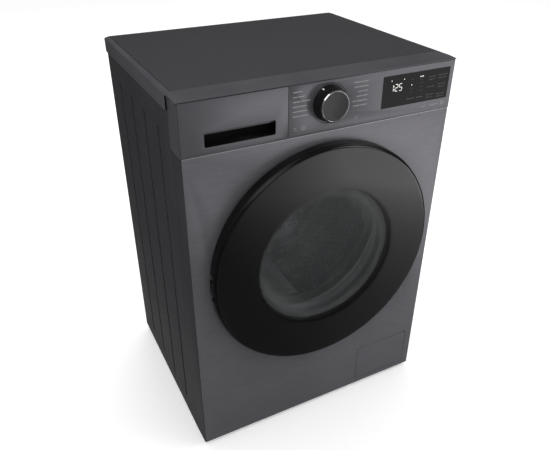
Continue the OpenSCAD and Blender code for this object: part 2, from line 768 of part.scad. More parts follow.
module foot_locknuts() {
    color("silver") for (f = foot_at) translate([f[0], fy(f[1]), ground_gap - 3.7]) difference() {
        cylinder(r = 10, h = 3.6, $fn = 6);
        translate([0, 0, -1]) cylinder(r = stud_r + 0.3, h = 6);
    }
}

module screw_head(x, z, d) {
    difference() {
        bar(x, z, d, d + 2, 4.5);
        block([x - 3, d + 1.2, z - 0.6], [x + 3, d + 3, z + 0.6]);
        block([x - 0.6, d + 1.2, z - 3], [x + 0.6, d + 3, z + 3]);
    }
}

module cabinet_screws() {
    color("silver") {
        for (i = [0:7]) screw_head(179 * cos(i * 45 + 22.5), axis_z + 179 * sin(i * 45 + 22.5), rear_d + 1.4);
        for (s = [-1, 1], z = [70, 420, 790]) screw_head(s * 278, z, rear_d + 0.05);
        for (s = [-1, 1]) screw_head(s * 60, 800, rear_d + 0.05);
    }
}

// ---------------------------------------------------------------- drum

module drum_shell() {
    mid = drum_r - 0.6;
    color("#c4c4c8")
        turned(ribbon([[167, 88], [167, 78], [mid - 8, 78], [mid, 86], [mid, 374]], sheet));
}

module drum_back() {
    color("#c4c4c8")
        turned(ribbon([[drum_r, 376.2], [190, 376.2], [178, 371], [84, 371], [72, 376.2],
            [0, 376.2]], sheet));
}

module drum_lifters() {
    // hollow ridges on the drum's wall, one every third of a turn
    color("#dcdce0") for (a = [90, 210, 330]) rotate_at_axis(-a + 90) difference() {
        translate([0, fy(352), axis_z]) rotate([90, 0, 0]) linear_extrude(246)
            polygon([[-30, -231.2], [30, -231.2], [12, -192], [7, -188], [-7, -188], [-12, -192]]);
        translate([0, fy(350), axis_z]) rotate([90, 0, 0]) linear_extrude(242)
            polygon([[-26, -232], [26, -232], [9, -195], [-9, -195]]);
    }
}

module drum_spider() {
    color("#a8a8ac") difference() {
        union() {
            turned([[0, 377], [26, 377], [24, 392], [0, 392]]);
            for (a = [30, 150, 270]) rotate_at_axis(a) {
                translate([-14, fy(377), axis_z + 18]) cube([28, 10, 206]);
                translate([-3, fy(386), axis_z + 18]) cube([6, 4, 196]);
            }
        }
        bar(0, axis_z, 380, 400, shaft_r + 0.05);
    }
}

module drum_shaft() {
    color("silver")
        turned([[0, 380.2], [shaft_r, 380.2], [shaft_r, 442], [9, 443], [9, 458], [8, 459], [0, 459]]);
}

module rotor() {
    color("#5a5a60") {
        turned(ribbon([[127, 411], [127, 447], [70, 447], [60, 451], [24, 451]], 2));
        turned([[9.1, 444], [24, 444], [24, 452], [9.1, 452]]);
    }
    color("#2b2b2b") turned([[118.5, 412], [125.8, 412], [125.8, 438], [118.5, 438]]);
}

module rotor_bolt() {
    color("silver") difference() {
        translate([0, fy(463), axis_z]) rotate([90, 0, 0]) cylinder(r = 16, h = 10.8, $fn = 6);
        bar(0, axis_z, 450, 465, 9.1);
    }
}

// ---------------------------------------------------------------- door

module door_glass() {
    r = door_r - 4;
    f = -door_proud;
    color("#141416") turned([[0, f], [r - 5, f], [r - 1.5, f + 1], [r, f + 2.6], [r, f + 5], [0, f + 5]]);
}

module door_frame() {
    r = door_r;
    f = -door_proud;
    color("#101012") difference() {
        turned([
            // rim round the glass
            [r - 3.6, f + 2], [r - 2.6, f + 1.4], [r - 0.8, f + 3.4], [r, f + 6],
            // outer wall and back
            [r, -4.4], [r - 2, -2.4], [inner_frame_r + 0.4, -2.4], [inner_frame_r + 0.4, -4.6],
            // inside, up to the seat of the glass
            [r - 2.4, -4.6], [r - 2.4, f + 7.6], [r - 14, f + 7.6], [r - 14, f + 5.3], [r - 3.6, f + 5.3]]);
        // notches for the swan necks
        for (s = [-1, 1]) block([-door_r - 5, f + 5.6, axis_z + s * neck_z - 7.2],
            [hinge_x + 24, 0, axis_z + s * neck_z + 7.2]);
        // room for the barrel
        block([hinge_x - 5, -8, axis_z - 31], [hinge_x + 24, 0, axis_z + 31]);
    }
}

module door_inner_frame() {
    color("#2e2e32") {
        difference() {
            union() {
                turned(ribbon([[inner_frame_r, -4], [171, -4], [163, 9], [152, 11]], 2.6));
                // cradle of the hook
                for (s = [-1, 1]) block([hook_x - 6, hook_d - 5, axis_z + s * 11.6 - 2],
                    [hook_x + 6, -4, axis_z + s * 11.6 + 2]);
            }
            block([hook_x + slot_low + 0.6, -6, axis_z - 9.4], [hook_x + slot_high, 0, axis_z + 9.4]);
        }
        translate([hook_x, fy(hook_d), axis_z - 13.6]) cylinder(r = hook_pin_r, h = 27.2);
    }
}

module door_bowl() {
    color([0.75, 0.8, 0.82, 0.4])
        turned(ribbon([[158, -11], [147.4, -11], [146.4, 26], [142, 50], [133, 66], [114, 79],
            [80, 87.5], [0, 87.5]], 4));
}

module door_hinge_arm() {
    color("#707074") difference() {
        union() {
            translate([hinge_x, fy(hinge_d), axis_z - barrel_half])
                cylinder(r = knuckle_r, h = 2 * barrel_half);
            block([hinge_x, hinge_d - 2, axis_z - barrel_half],
                [hinge_x + 36, hinge_d + 2, axis_z + barrel_half]);
        }
        translate([hinge_x, fy(hinge_d), axis_z - 40]) cylinder(r = hinge_pin_r + 0.05, h = 80);
    }
}

module door_hook() {
    color("#c8c8cc") translate([hook_x, 0, axis_z]) {
        difference() {
            union() {
                translate([0, fy(hook_d), -9]) cylinder(r = 4.6, h = 18);
                translate([-2.5, fy(hook_d), -7]) cube([5, 34, 14]);
            }
            translate([0, fy(hook_d), -10]) cylinder(r = hook_pin_r + 0.05, h = 20);
        }
        // nose that catches behind the lock's plate
        translate([-2.5, fy(16), -7]) cube([10, 6, 14]);
    }
}

// ---------------------------------------------------------------- controls that move

module knob() {
    color("#0c0c0e") difference() {
        turned([[0, -22], [knob_front_r, -22], [knob_front_r + 1.5, -20.5], [knob_r - 0.4, -3],
            [knob_r, -2.2], [knob_r, 0.4], [0, 0.4]], 0, knob_z);
        turned([[0, -23], [cap_r + 0.2, -23], [cap_r + 0.2, -20], [0, -20]], 0, knob_z);
        turned([[8, -17], [30, -17], [33, -1.5], [33, 1], [8, 1]], 0, knob_z);
        bar(0, knob_z, -11, 2, encoder_r + 0.05);
    }
}

module knob_cap() {
    color("#77777b") turned([[0, -21.6], [cap_r - 0.7, -21.6], [cap_r, -21.2],
        [cap_r, -20.1], [0, -20.1]], 0, knob_z);
}

module drawer_front() {
    x0 = drawer_x[0];
    x1 = drawer_x[1];
    z0 = fascia_z0 + 0.3;
    z1 = fascia_z1 - 0.3;
    low = [slot_x[0], slot_z[0]];
    high = [slot_x[1], slot_z[1]];
    color("#5c5c62") difference() {
        union() {
            slab(0, 3) translate([x0, z0]) square([x1 - x0, z1 - z0]);
            // frame behind the plate, and the pocket of the handle
            block([tray_x[0], 2.9, tray_z[0]], [tray_x[1], 8, tray_z[1]]);
            block([low[0] - 3, 2.9, low[1] - 3], [high[0] + 3, slot_deep + 3, high[1] + 3]);
        }
        // mouth in front of the grip bar, the way under it and the hollow behind it
        slab(-1, grip_bar_d) round_rect(low, high, 4);
        block([low[0], grip_bar_d - 1, low[1]], [high[0], slot_deep, grip_bar_z]);
        block([low[0], grip_bar_d + 3, low[1]], [high[0], slot_deep, high[1]]);
    }
}

module drawer_tray() {
    x0 = tray_x[0];
    x1 = tray_x[1];
    w = 2;
    color("#d4d8dc") difference() {
        union() {
            block([x0, slot_deep + 3.1, tray_z[0]], [x1, tray_d[1], tray_z[1]]);
            // arms beside the pocket that hold the front
            block([x0, 8.1, tray_z[0]], [slot_x[0] - 4, slot_deep + 4, tray_z[1]]);
        }
        // main wash, softener and prewash compartments
        block([x0 + w, tray_d[0], tray_z[0] + w], [x0 + 84, tray_d[1] - w, tray_z[1] + 1]);
        block([x0 + 84 + w, tray_d[0], tray_z[0] + w], [x0 + 134, tray_d[1] - w, tray_z[1] + 1]);
        block([x0 + 134 + w, tray_d[0], tray_z[0] + w], [x1 - w, tray_d[1] - w, tray_z[1] + 1]);
        // step under the compartments, and water ways at the back
        for (x = [x0 + 40, x1 - 26]) block([x - 10, tray_d[1] - 6, tray_z[0] + w],
            [x + 10, tray_d[1] + 1, tray_z[0] + 18]);
    }
    // siphon cap over the softener compartment
    color("#4a7ab0") block([x0 + 86.5, 150, tray_z[1] - 16], [x0 + 133.5, 230, tray_z[1] - 12]);
}

// ---------------------------------------------------------------- service hatch and filter

module service_hatch() {
    color("#55555a") {
        slab(0, 1.8) round_rect([hatch_x[0], hatch_z[0]], [hatch_x[1], hatch_z[1]], 7);
        // knuckles on the pins
        for (s = [-1, 1]) translate([hatch_mid + s * (hatch_half - 8), 0, 0]) difference() {
            union() {
                translate([-4, fy(hatch_pin[0]), hatch_pin[1]]) rotate([0, 90, 0]) cylinder(r = 2.4, h = 8);
                block([-4, 1.7, hatch_pin[1] - 2.4], [4, hatch_pin[0], hatch_pin[1] + 2.4]);
            }
            translate([-5, fy(hatch_pin[0]), hatch_pin[1]]) rotate([0, 90, 0])
                cylinder(r = hatch_pin_r + 0.05, h = 10);
        }
        // catch at the top edge
        block([hatch_mid - 7, 1.7, hatch_z[1] - 9], [hatch_mid + 7, 6, hatch_z[1] - 6]);
    }
}

module pump_filter() {
    x = filter_at[0];
    z = filter_at[1];
    color("#2b5fa0") {
        turned([[0, 10], [28.5, 10], [28.5, 13.6], [25, 13.6], [25, 50], [18, 60], [0, 60]], x, z);
        block([x - 22, 5, z - 4], [x + 22, 10.1, z + 4]);
    }
}

// ---------------------------------------------------------------- feet

module foot(i) {
    color("#1e1e20") translate([foot_at[i][0], fy(foot_at[i][1]), 0]) {
        cylinder(r = 20, h = 5);
        cylinder(r = 14, h = 6);
        cylinder(r = 11, h = 8, $fn = 6);
        cylinder(r = stud_r, h = 36);
    }
}

// ---------------------------------------------------------------- what is drawn

base_pan();
side_panel(-1);  // side_panel_left
side_panel(1);  // side_panel_right
rear_panel();
rear_cover();
top_panel();
top_trim();
front_panel();
control_fascia();
display_window();
display_board();
cross_braces();
power_board();
inlet_valve();
inlet_hose();
dispenser_housing();
dispenser_hose();
pressure_sensor();
door_lock();
hinge_bracket();
door_gasket();
gasket_clamps();
tub_front();
tub_rear();
counterweights();
suspension_springs();
dampers();
stator();
heater();
drain_pump();
sump_hose();
drain_hose();
cord_gland();
bearing_set();
transit_caps();
foot_locknuts();
cabinet_screws();
drum_shell();
drum_back();
drum_lifters();
drum_spider();
drum_shaft();
rotor();
rotor_bolt();
door_glass();
door_frame();
door_inner_frame();
door_bowl();
door_hinge_arm();
door_hook();
knob();
knob_cap();
drawer_front();
drawer_tray();
service_hatch();
pump_filter();
foot(0);  // foot_front_left
foot(1);  // foot_front_right
foot(2);  // foot_rear_left
foot(3);  // foot_rear_right
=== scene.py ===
"""Looks of a front load washing machine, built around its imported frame.

The frame holds every solid of the machine in metres, with its door facing -Y and +Z up. This script
gives each solid its finish, replaces the pieces that need finer shapes, adds the marks and lights of
the control panel, and sets up the studio.
"""

import json
import logging
import math
from dataclasses import dataclass
from enum import Enum
from functools import cache
from typing import Dict, Iterable, List, Sequence, Tuple

import bmesh
import bpy
from mathutils import Matrix, Vector

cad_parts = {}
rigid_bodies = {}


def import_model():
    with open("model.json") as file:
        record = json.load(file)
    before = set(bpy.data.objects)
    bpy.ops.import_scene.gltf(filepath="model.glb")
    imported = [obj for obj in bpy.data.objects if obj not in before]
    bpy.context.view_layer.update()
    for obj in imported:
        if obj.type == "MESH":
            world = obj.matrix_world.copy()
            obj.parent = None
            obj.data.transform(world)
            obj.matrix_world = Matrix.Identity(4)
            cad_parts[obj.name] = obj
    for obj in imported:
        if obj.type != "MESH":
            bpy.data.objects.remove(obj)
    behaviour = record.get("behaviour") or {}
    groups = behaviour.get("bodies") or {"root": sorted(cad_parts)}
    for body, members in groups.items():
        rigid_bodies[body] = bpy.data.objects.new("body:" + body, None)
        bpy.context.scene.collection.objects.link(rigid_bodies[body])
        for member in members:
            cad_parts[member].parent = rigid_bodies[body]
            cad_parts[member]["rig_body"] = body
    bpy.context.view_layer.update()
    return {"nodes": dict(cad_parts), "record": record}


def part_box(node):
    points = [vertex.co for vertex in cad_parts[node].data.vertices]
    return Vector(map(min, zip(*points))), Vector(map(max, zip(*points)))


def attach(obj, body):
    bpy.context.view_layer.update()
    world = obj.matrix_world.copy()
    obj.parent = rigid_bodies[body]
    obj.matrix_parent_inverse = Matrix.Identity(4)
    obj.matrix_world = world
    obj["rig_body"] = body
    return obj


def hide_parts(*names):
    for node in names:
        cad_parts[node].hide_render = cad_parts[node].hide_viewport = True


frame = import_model()

LOG = logging.getLogger("washing_machine")

Color = Tuple[float, float, float]
Point = Tuple[float, float, float]
Pair = Tuple[float, float]
Socket = bpy.types.NodeSocket
ShaderNode = bpy.types.Node
Tree = bpy.types.NodeTree
Mesh = bmesh.types.BMesh
Piece = bpy.types.Object

MM = 0.001
FULL_TURN = 2.0 * math.pi
# Distance between staggered rows, as a share of the distance between holes
STAGGER = 0.866
COAT_ROUGH = 0.08
# Edges sharper than this are rounded
SHARP = math.radians(40.0)
DUST = (0.55, 0.53, 0.5, 1.0)
# Near black inside each drum hole: painted shade for the dark gap behind the openings
HOLE_SHADE = (0.004, 0.004, 0.004, 1.0)


# ---- node wiring


class Wiring:
    """Adds and joins the nodes of one material or node group."""

    def __init__(self, tree: Tree) -> None:
        """Works on one node tree.

        Args:
            tree: the tree that takes the nodes.
        """
        self.tree = tree

    def add(self, kind: str, inputs: Dict[object, object] = None, **settings: object) -> ShaderNode:
        """Adds a node.

        Args:
            kind: the node's type name.
            inputs: what feed takes.
            settings: the node's own properties.

        Returns:
            The new node.
        """
        node = self.tree.nodes.new(kind)
        for key, value in settings.items():
            setattr(node, key, value)
        self.feed(node, inputs or {})
        return node

    def feed(self, node: ShaderNode, inputs: Dict[object, object]) -> None:
        """Sets or joins a node's inputs.

        Args:
            node: the node.
            inputs: values or sockets, by the input's name or place.
        """
        for key, value in inputs.items():
            if isinstance(value, Socket):
                self.tree.links.new(value, node.inputs[key])
            else:
                node.inputs[key].default_value = value

    def math(self, operation: str, first: object, second: object = 0.0, third: object = 0.0) -> Socket:
        """Adds a Math node and returns its value.

        Args:
            operation: the Math node's operation.
            first: the first number or socket.
            second: the second number or socket.
            third: the third number or socket.

        Returns:
            The result's socket.
        """
        node = self.add("ShaderNodeMath", {0: first, 1: second, 2: third}, operation=operation)
        return node.outputs[0]

    def span(self, value: Socket, low: float, high: float, to_low: float = 0.0, to_high: float = 1.0,
             smooth: bool = True) -> Socket:
        """Maps a value's span onto another, held at its ends.

        Args:
            value: the value to map.
            low: the value that gives to_low.
            high: the value that gives to_high.
            to_low: the result at low.
            to_high: the result at high.
            smooth: whether the change is eased.

        Returns:
            The result's socket.
        """
        node = self.add(
            "ShaderNodeMapRange",
            {"Value": value, "From Min": low, "From Max": high, "To Min": to_low, "To Max": to_high},
            interpolation_type="SMOOTHSTEP" if smooth else "LINEAR")
        return node.outputs["Result"]

    def blend(self, share: Socket, first: object, second: object) -> Socket:
        """Mixes two colours.

        Args:
            share: how much of the second colour shows.
            first: the first colour or socket.
            second: the second colour or socket.

        Returns:
            The mixed colour's socket.
        """
        node = self.add("ShaderNodeMix", {0: share, 6: first, 7: second}, data_type="RGBA")
        return node.outputs[2]

    def bump(self, strength: float, distance: float, height: Socket) -> Socket:
        """Turns a height into a normal.

        Args:
            strength: how strongly it turns the light.
            distance: the height's size in metres.
            height: the height.

        Returns:
            The normal's socket.
        """
        inputs = {"Strength": strength, "Distance": distance, "Height": height}
        return self.add("ShaderNodeBump", inputs).outputs[0]

    def parts(self, vector: Socket) -> bpy.types.bpy_prop_collection:
        """Splits a vector.

        Args:
            vector: the vector to split.

        Returns:
            The sockets of its X, Y and Z.
        """
        return self.add("ShaderNodeSeparateXYZ", {0: vector}).outputs

    def length(self, first: Socket, second: Socket) -> Socket:
        """Measures a length in a plane.

        Args:
            first: the length's part along one axis.
            second: its part along the other.

        Returns:
            The length's socket.
        """
        squares = [self.math("MULTIPLY", part, part) for part in (first, second)]
        return self.math("SQRT", self.math("ADD", *squares))

    def centred(self, place: Socket, centre: Pair) -> Socket:
        """Measures coordinates from an axis along Y.

        Args:
            place: the coordinates.
            centre: X and Z of the axis.

        Returns:
            The centred coordinates' socket.
        """
        ends = {0: place, 1: (centre[0], 0.0, centre[1])}
        return self.add("ShaderNodeVectorMath", ends, operation="SUBTRACT").outputs[0]


def group_tree(name: str, inputs: Sequence[Tuple[str, str]], outputs: Sequence[Tuple[str, str]]
               ) -> Tuple[Wiring, ShaderNode, ShaderNode]:
    """Makes an empty shader node group.

    Args:
        name: the group's name.
        inputs: name and kind of each input, such as ("Vector", "Vector").
        outputs: name and kind of each output.

    Returns:
        The group's wiring, and its input and output nodes.
    """
    tree = bpy.data.node_groups.new(name, "ShaderNodeTree")
    for label, kind in inputs:
        tree.interface.new_socket(name=label, in_out="INPUT", socket_type=f"NodeSocket{kind}")
    for label, kind in outputs:
        tree.interface.new_socket(name=label, in_out="OUTPUT", socket_type=f"NodeSocket{kind}")
    return Wiring(tree), tree.nodes.new("NodeGroupInput"), tree.nodes.new("NodeGroupOutput")


@cache
def surface_grain() -> Tree:
    """Fine relief, broad shade and light dust for any worked surface.

    Returns:
        A group that takes Vector, Pitch and Cloud, and gives Height, Shade and Dust.
    """
    wire, entry, leave = group_tree(
        "surface grain", [("Vector", "Vector"), ("Pitch", "Vector"), ("Cloud", "Float")],
        [("Height", "Float"), ("Shade", "Float"), ("Dust", "Float")])
    stretched = wire.add("ShaderNodeVectorMath", {0: entry.outputs["Vector"], 1: entry.outputs["Pitch"]},
                         operation="MULTIPLY")
    relief = wire.add("ShaderNodeTexNoise", {"Vector": stretched.outputs[0], "Scale": 1.0, "Detail": 4.0,
                                             "Roughness": 0.62})
    cloud = wire.add("ShaderNodeTexNoise", {"Vector": entry.outputs["Vector"], "Detail": 3.0,
                                            "Scale": entry.outputs["Cloud"], "Roughness": 0.55})
    shade = wire.math("ADD", wire.math("MULTIPLY", relief.outputs["Fac"], 0.55),
                      wire.math("MULTIPLY", cloud.outputs["Fac"], 0.45))
    facing = wire.parts(wire.add("ShaderNodeNewGeometry").outputs["Normal"])
    upward = wire.span(facing["Z"], 0.4, 1.0)
    patches = wire.span(cloud.outputs["Fac"], 0.35, 0.75)
    wire.feed(leave, {"Height": relief.outputs["Fac"], "Shade": shade,
                      "Dust": wire.math("MULTIPLY", upward, patches)})
    return wire.tree


@cache
def hole_field() -> Tree:
    """Staggered rows of round holes on a surface with two coordinates.

    Returns:
        A group that takes U and V in hole pitches and Radius as a share of the pitch, and gives Mask and Rim.
    """
    wire, entry, leave = group_tree("hole field", [("U", "Float"), ("V", "Float"), ("Radius", "Float")],
                                    [("Mask", "Float"), ("Rim", "Float")])
    row = wire.math("FLOOR", entry.outputs["V"])
    shift = wire.math("MULTIPLY", wire.math("PINGPONG", row, 1.0), 0.5)
    across = wire.math("SUBTRACT", wire.math("FRACT", wire.math("ADD", entry.outputs["U"], shift)), 0.5)
    along = wire.math("SUBTRACT", wire.math("FRACT", entry.outputs["V"]), 0.5)
    ratio = wire.math("DIVIDE", wire.length(across, along), entry.outputs["Radius"])
    wire.feed(leave, {"Mask": wire.span(ratio, 1.08, 0.92), "Rim": wire.span(ratio, 1.0, 1.7)})
    return wire.tree


@cache
def turned_rings() -> Tree:
    """Fine rings round the Y axis, as a lathe tool leaves them.

    Returns:
        A group that takes Vector, already centred, and Pitch in rings per metre, and gives Height and Shade.
    """
    wire, entry, leave = group_tree("turned rings", [("Vector", "Vector"), ("Pitch", "Float")],
                                    [("Height", "Float"), ("Shade", "Float")])
    place = wire.parts(entry.outputs["Vector"])
    steps = wire.math("MULTIPLY", wire.length(place["X"], place["Z"]), entry.outputs["Pitch"])
    noise = wire.add("ShaderNodeTexNoise", {"W": steps, "Scale": 1.0, "Detail": 3.0, "Roughness": 0.7},
                     noise_dimensions="1D")
    wire.feed(leave, {"Height": noise.outputs["Fac"], "Shade": wire.span(noise.outputs["Fac"], 0.3, 0.7)})
    return wire.tree


# ---- finishes


@dataclass(frozen=True)
class Work:
    """How fine a surface is worked.

    Attributes:
        pitch: repeats per metre of the relief along X, Y and Z.
        cloud: repeats per metre of the broad shade.
        depth: height of the relief in metres.
        strength: how strongly the relief turns the light.
        shade: share by which the colour wanders.
        gloss: how far the roughness wanders.
        dust: share of pale dust on what faces up.
    """

    pitch: Color
    cloud: float
    depth: float
    strength: float
    shade: float
    gloss: float
    dust: float = 0.0


class Grain(Enum):
    """The ways in which the machine's surfaces are worked."""

    MOULDED = Work((2600.0,) * 3, 9.0, 0.00006, 0.25, 0.10, 0.05, 0.02)
    POWDER = Work((1500.0,) * 3, 6.0, 0.00010, 0.35, 0.12, 0.06, 0.01)
    SMOOTH_POWDER = Work((1500.0,) * 3, 3.0, 0.00008, 0.25, 0.06, 0.03)
    BRUSHED_LEVEL = Work((32.0, 32.0, 520.0), 3.0, 0.00003, 0.30, 0.16, 0.06)
    BRUSHED_FINE = Work((9.0, 9.0, 1700.0), 4.0, 0.00002, 0.20, 0.08, 0.04)
    GLOSS = Work((40.0,) * 3, 12.0, 0.00001, 0.05, 0.10, 0.02)
    CAST = Work((700.0,) * 3, 30.0, 0.00030, 0.50, 0.25, 0.12, 0.04)
    SPANGLE = Work((90.0,) * 3, 60.0, 0.00002, 0.10, 0.35, 0.14, 0.03)
    CONCRETE = Work((380.0,) * 3, 25.0, 0.00060, 0.80, 0.40, 0.10, 0.06)
    RUBBER = Work((1100.0,) * 3, 14.0, 0.00008, 0.30, 0.15, 0.08, 0.03)
    WOUND = Work((60.0, 1400.0, 60.0), 40.0, 0.00050, 0.80, 0.30, 0.08)
    DRAWN = Work((900.0, 60.0, 900.0), 20.0, 0.00004, 0.30, 0.15, 0.08)


@dataclass(frozen=True)
class Finish:
    """One finish of the machine, as a procedural material.

    Attributes:
        name: the finish's name.
        color: linear colour of the bare surface.
        rough: mean roughness.
        grain: how the surface is worked.
        metal: how metallic it is.
        coat: weight of a clear coat.
        sheen: weight of the sheen of rubber or cloth.
        specular: specular level of the surface.
    """

    name: str
    color: Color
    rough: float = 0.4
    grain: Grain = Grain.MOULDED
    metal: float = 0.0
    coat: float = 0.0
    sheen: float = 0.0
    specular: float = 0.5

    def tinted(self, share: float) -> Tuple[float, ...]:
        """Makes the colour lighter or darker.

        Args:
            share: the share of the colour to take.

        Returns:
            The colour with its alpha.
        """
        return (*(min(1.0, part * share) for part in self.color), 1.0)

    def grained(self, wire: Wiring, shader: ShaderNode, place: Socket) -> Socket:
        """Feeds the shader's colour, roughness and normal from the grain.

        Args:
            wire: the material's wiring.
            shader: the shader to feed.
            place: coordinates of the surface.

        Returns:
            The colour's socket.
        """
        work = self.grain.value
        grain = wire.add("ShaderNodeGroup", {"Pitch": work.pitch, "Cloud": work.cloud, "Vector": place},
                         node_tree=surface_grain())
        tone = wire.blend(wire.span(grain.outputs["Shade"], 0.3, 0.7), self.tinted(1.0 - work.shade),
                          self.tinted(1.0 + work.shade))
        if work.dust > 0.0:
            tone = wire.blend(wire.math("MULTIPLY", grain.outputs["Dust"], work.dust), tone, DUST)
        rough = wire.span(grain.outputs["Shade"], 0.3, 0.7, self.rough - work.gloss, self.rough + work.gloss)
        bump = wire.bump(work.strength, work.depth, grain.outputs["Height"])
        wire.feed(shader, {"Base Color": tone, "Roughness": rough, "Normal": bump})
        return tone

    def enrich(self, wire: Wiring, shader: ShaderNode, place: Socket, tone: Socket) -> None:
        """Adds what one kind of finish has over the others; a plain finish has nothing more.

        Args:
            wire: the material's wiring.
            shader: the shader to feed.
            place: coordinates of the surface.
            tone: the grained colour.
        """

    def material(self) -> bpy.types.Material:
        """Makes the finish's material, once.

        Returns:
            The material.
        """
        if self.name in bpy.data.materials:
            return bpy.data.materials[self.name]
        material = bpy.data.materials.new(self.name)
        material.use_nodes = True
        material.diffuse_color = (*self.color, 1.0)
        wire = Wiring(material.node_tree)
        shader = material.node_tree.nodes["Principled BSDF"]
        wire.feed(shader, {"Metallic": self.metal, "Coat Weight": self.coat, "Coat Roughness": COAT_ROUGH,
                           "Sheen Weight": self.sheen, "Specular IOR Level": self.specular})
        place = wire.add("ShaderNodeTexCoord").outputs["Object"]
        self.enrich(wire, shader, place, self.grained(wire, shader, place))
        return material


@dataclass(frozen=True)
class TintedGlass(Finish):
    """Dark glass that lets a little of what is behind its middle show.

    Attributes:
        centre: middle of the clear part, as X and Z.
        clear_reach: radius of the clear part.
        fade_in: how far inside that radius the border starts.
        fade_out: how far outside it the glass is fully dark.
        hold: share of the light that the clear part stops at each face.
    """

    centre: Pair = (0.0, 0.0)
    clear_reach: float = 0.15
    fade_in: float = 9.0 * MM
    fade_out: float = 3.0 * MM
    hold: float = 0.6

    def enrich(self, wire: Wiring, shader: ShaderNode, place: Socket, tone: Socket) -> None:
        """Makes the glass clearer inside its printed border."""
        part = wire.parts(wire.centred(place, self.centre))
        border = wire.span(wire.length(part["X"], part["Z"]), self.clear_reach - self.fade_in,
                           self.clear_reach + self.fade_out, self.hold, 1.0)
        wire.feed(shader, {"Alpha": border})


@dataclass(frozen=True)
class BowlGlass(Finish):
    """Clear pressed glass, denser where it is seen edge on."""

    def enrich(self, wire: Wiring, shader: ShaderNode, place: Socket, tone: Socket) -> None:
        """Lets the bowl be seen through where it faces the eye."""
        edge = wire.add("ShaderNodeLayerWeight", {"Blend": 0.35})
        wire.feed(shader, {"Alpha": wire.span(edge.outputs["Facing"], 0.1, 0.9, 0.12, 0.75)})


class Spread(Enum):
    """How a field of holes lies on a surface."""

    ROUND_WALL = "on the wall of a cylinder"
    FLAT_END = "on a flat end"


@dataclass(frozen=True)
class Perforated(Finish):
    """Steel sheet with staggered drain holes.

    Attributes:
        spread: how the holes lie.
        centre: X and Z of the drum's axis.
        around: holes in one row round the wall.
        pitch: distance between rows in metres.
        hole: radius of a hole as a share of the pitch.
    """

    spread: Spread = Spread.ROUND_WALL
    centre: Pair = (0.0, 0.463)
    around: int = 96
    pitch: float = 0.0145
    hole: float = 0.13

    def enrich(self, wire: Wiring, shader: ShaderNode, place: Socket, tone: Socket) -> None:
        """Gives the sheet its holes, filled with near black as painted shade for the dark gap behind them,
        with a soft dish round each.
        """
        part = wire.parts(wire.centred(place, self.centre))
        if self.spread is Spread.ROUND_WALL:
            first = wire.math("MULTIPLY", wire.math("ARCTAN2", part["X"], part["Z"]), self.around / FULL_TURN)
            second = wire.math("DIVIDE", part["Y"], self.pitch)
        else:
            first = wire.math("DIVIDE", part["X"], self.pitch)
            second = wire.math("DIVIDE", part["Z"], self.pitch * STAGGER)
        holes = wire.add("ShaderNodeGroup", {"U": first, "V": second, "Radius": self.hole},
                         node_tree=hole_field())
        # The hole pattern is the sheet's own; the near black in each hole is painted shade
        wire.feed(shader, {"Base Color": wire.blend(holes.outputs["Mask"], tone, HOLE_SHADE),
                           "Normal": wire.bump(0.6, 1.2 * MM, holes.outputs["Rim"])})


@dataclass(frozen=True)
class SpunMetal(Finish):
    """Metal turned on a lathe, with fine rings round its middle.

    Attributes:
        centre: middle of the rings, as X and Z.
        rings: rings per metre.
        drawn_out: how far the rings draw out a reflection.
    """

    centre: Pair = (0.0, 0.0)
    rings: float = 5200.0
    drawn_out: float = 0.9

    def enrich(self, wire: Wiring, shader: ShaderNode, place: Socket, tone: Socket) -> None:
        """Adds the rings and draws reflections out along them."""
        centred = wire.centred(place, self.centre)
        rings = wire.add("ShaderNodeGroup", {"Vector": centred, "Pitch": self.rings},
                         node_tree=turned_rings())
        part = wire.parts(centred)
        back = wire.math("MULTIPLY", part["X"], -1.0)
        along = wire.add("ShaderNodeCombineXYZ", {"X": part["Z"], "Z": back})
        tangent = wire.add("ShaderNodeVectorTransform", {0: along.outputs[0]}, vector_type="VECTOR",
                           convert_from="OBJECT", convert_to="WORLD")
        shine = wire.math("MULTIPLY", rings.outputs["Shade"], 0.5)
        wire.feed(shader, {"Tangent": tangent.outputs[0], "Anisotropic": self.drawn_out,
                           "Base Color": wire.blend(shine, tone, self.tinted(1.25)),
                           "Normal": wire.bump(0.55, 0.1 * MM, rings.outputs["Height"])})


@dataclass(frozen=True)
class Lamp(Finish):
    """A lit segment or dot behind the display's glass.

    Attributes:
        glow: strength of its light.
    """

    glow: float = 2.0

    def enrich(self, wire: Wiring, shader: ShaderNode, place: Socket, tone: Socket) -> None:
        """Lights the surface a little unevenly, as a lit segment is."""
        wire.feed(shader, {"Emission Color": tone, "Emission Strength": self.glow})


# ---- mesh work


def centre_of(node: str) -> Vector:
    """Finds the middle of a solid's box.

    Args:
        node: the solid's name.

    Returns:
        The middle.
    """
    low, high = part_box(node)
    return (low + high) / 2


def finished(name: str, work: Mesh, body: str, slot: str, finish: Finish = None,
             smooth_angle: float = 35.0) -> Piece:
    """Turns a bmesh into a piece that rides on a body.

    Args:
        name: the piece's name.
        work: the piece's mesh, in the row frame.
        body: the body that it rides on.
        slot: the material slot that it belongs to.
        finish: its finish, if it isn't the slot's own.
        smooth_angle: edges sharper than this many degrees stay sharp.

    Returns:
        The new object.
    """
    mesh = bpy.data.meshes.new(name)
    for face in work.faces:
        face.smooth = True
    limit = math.radians(smooth_angle)
    for edge in work.edges:
        edge.smooth = edge.is_manifold and edge.calc_face_angle(0.0) < limit
    work.to_mesh(mesh)
    work.free()
    mesh.materials.append((finish or SLOT_FINISHES[slot]).material())
    piece = bpy.data.objects.new(name, mesh)
    bpy.context.scene.collection.objects.link(piece)
    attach(piece, body)
    LOG.info("%s: %d faces on %s, %s", name, len(mesh.polygons), body, slot)
    return piece


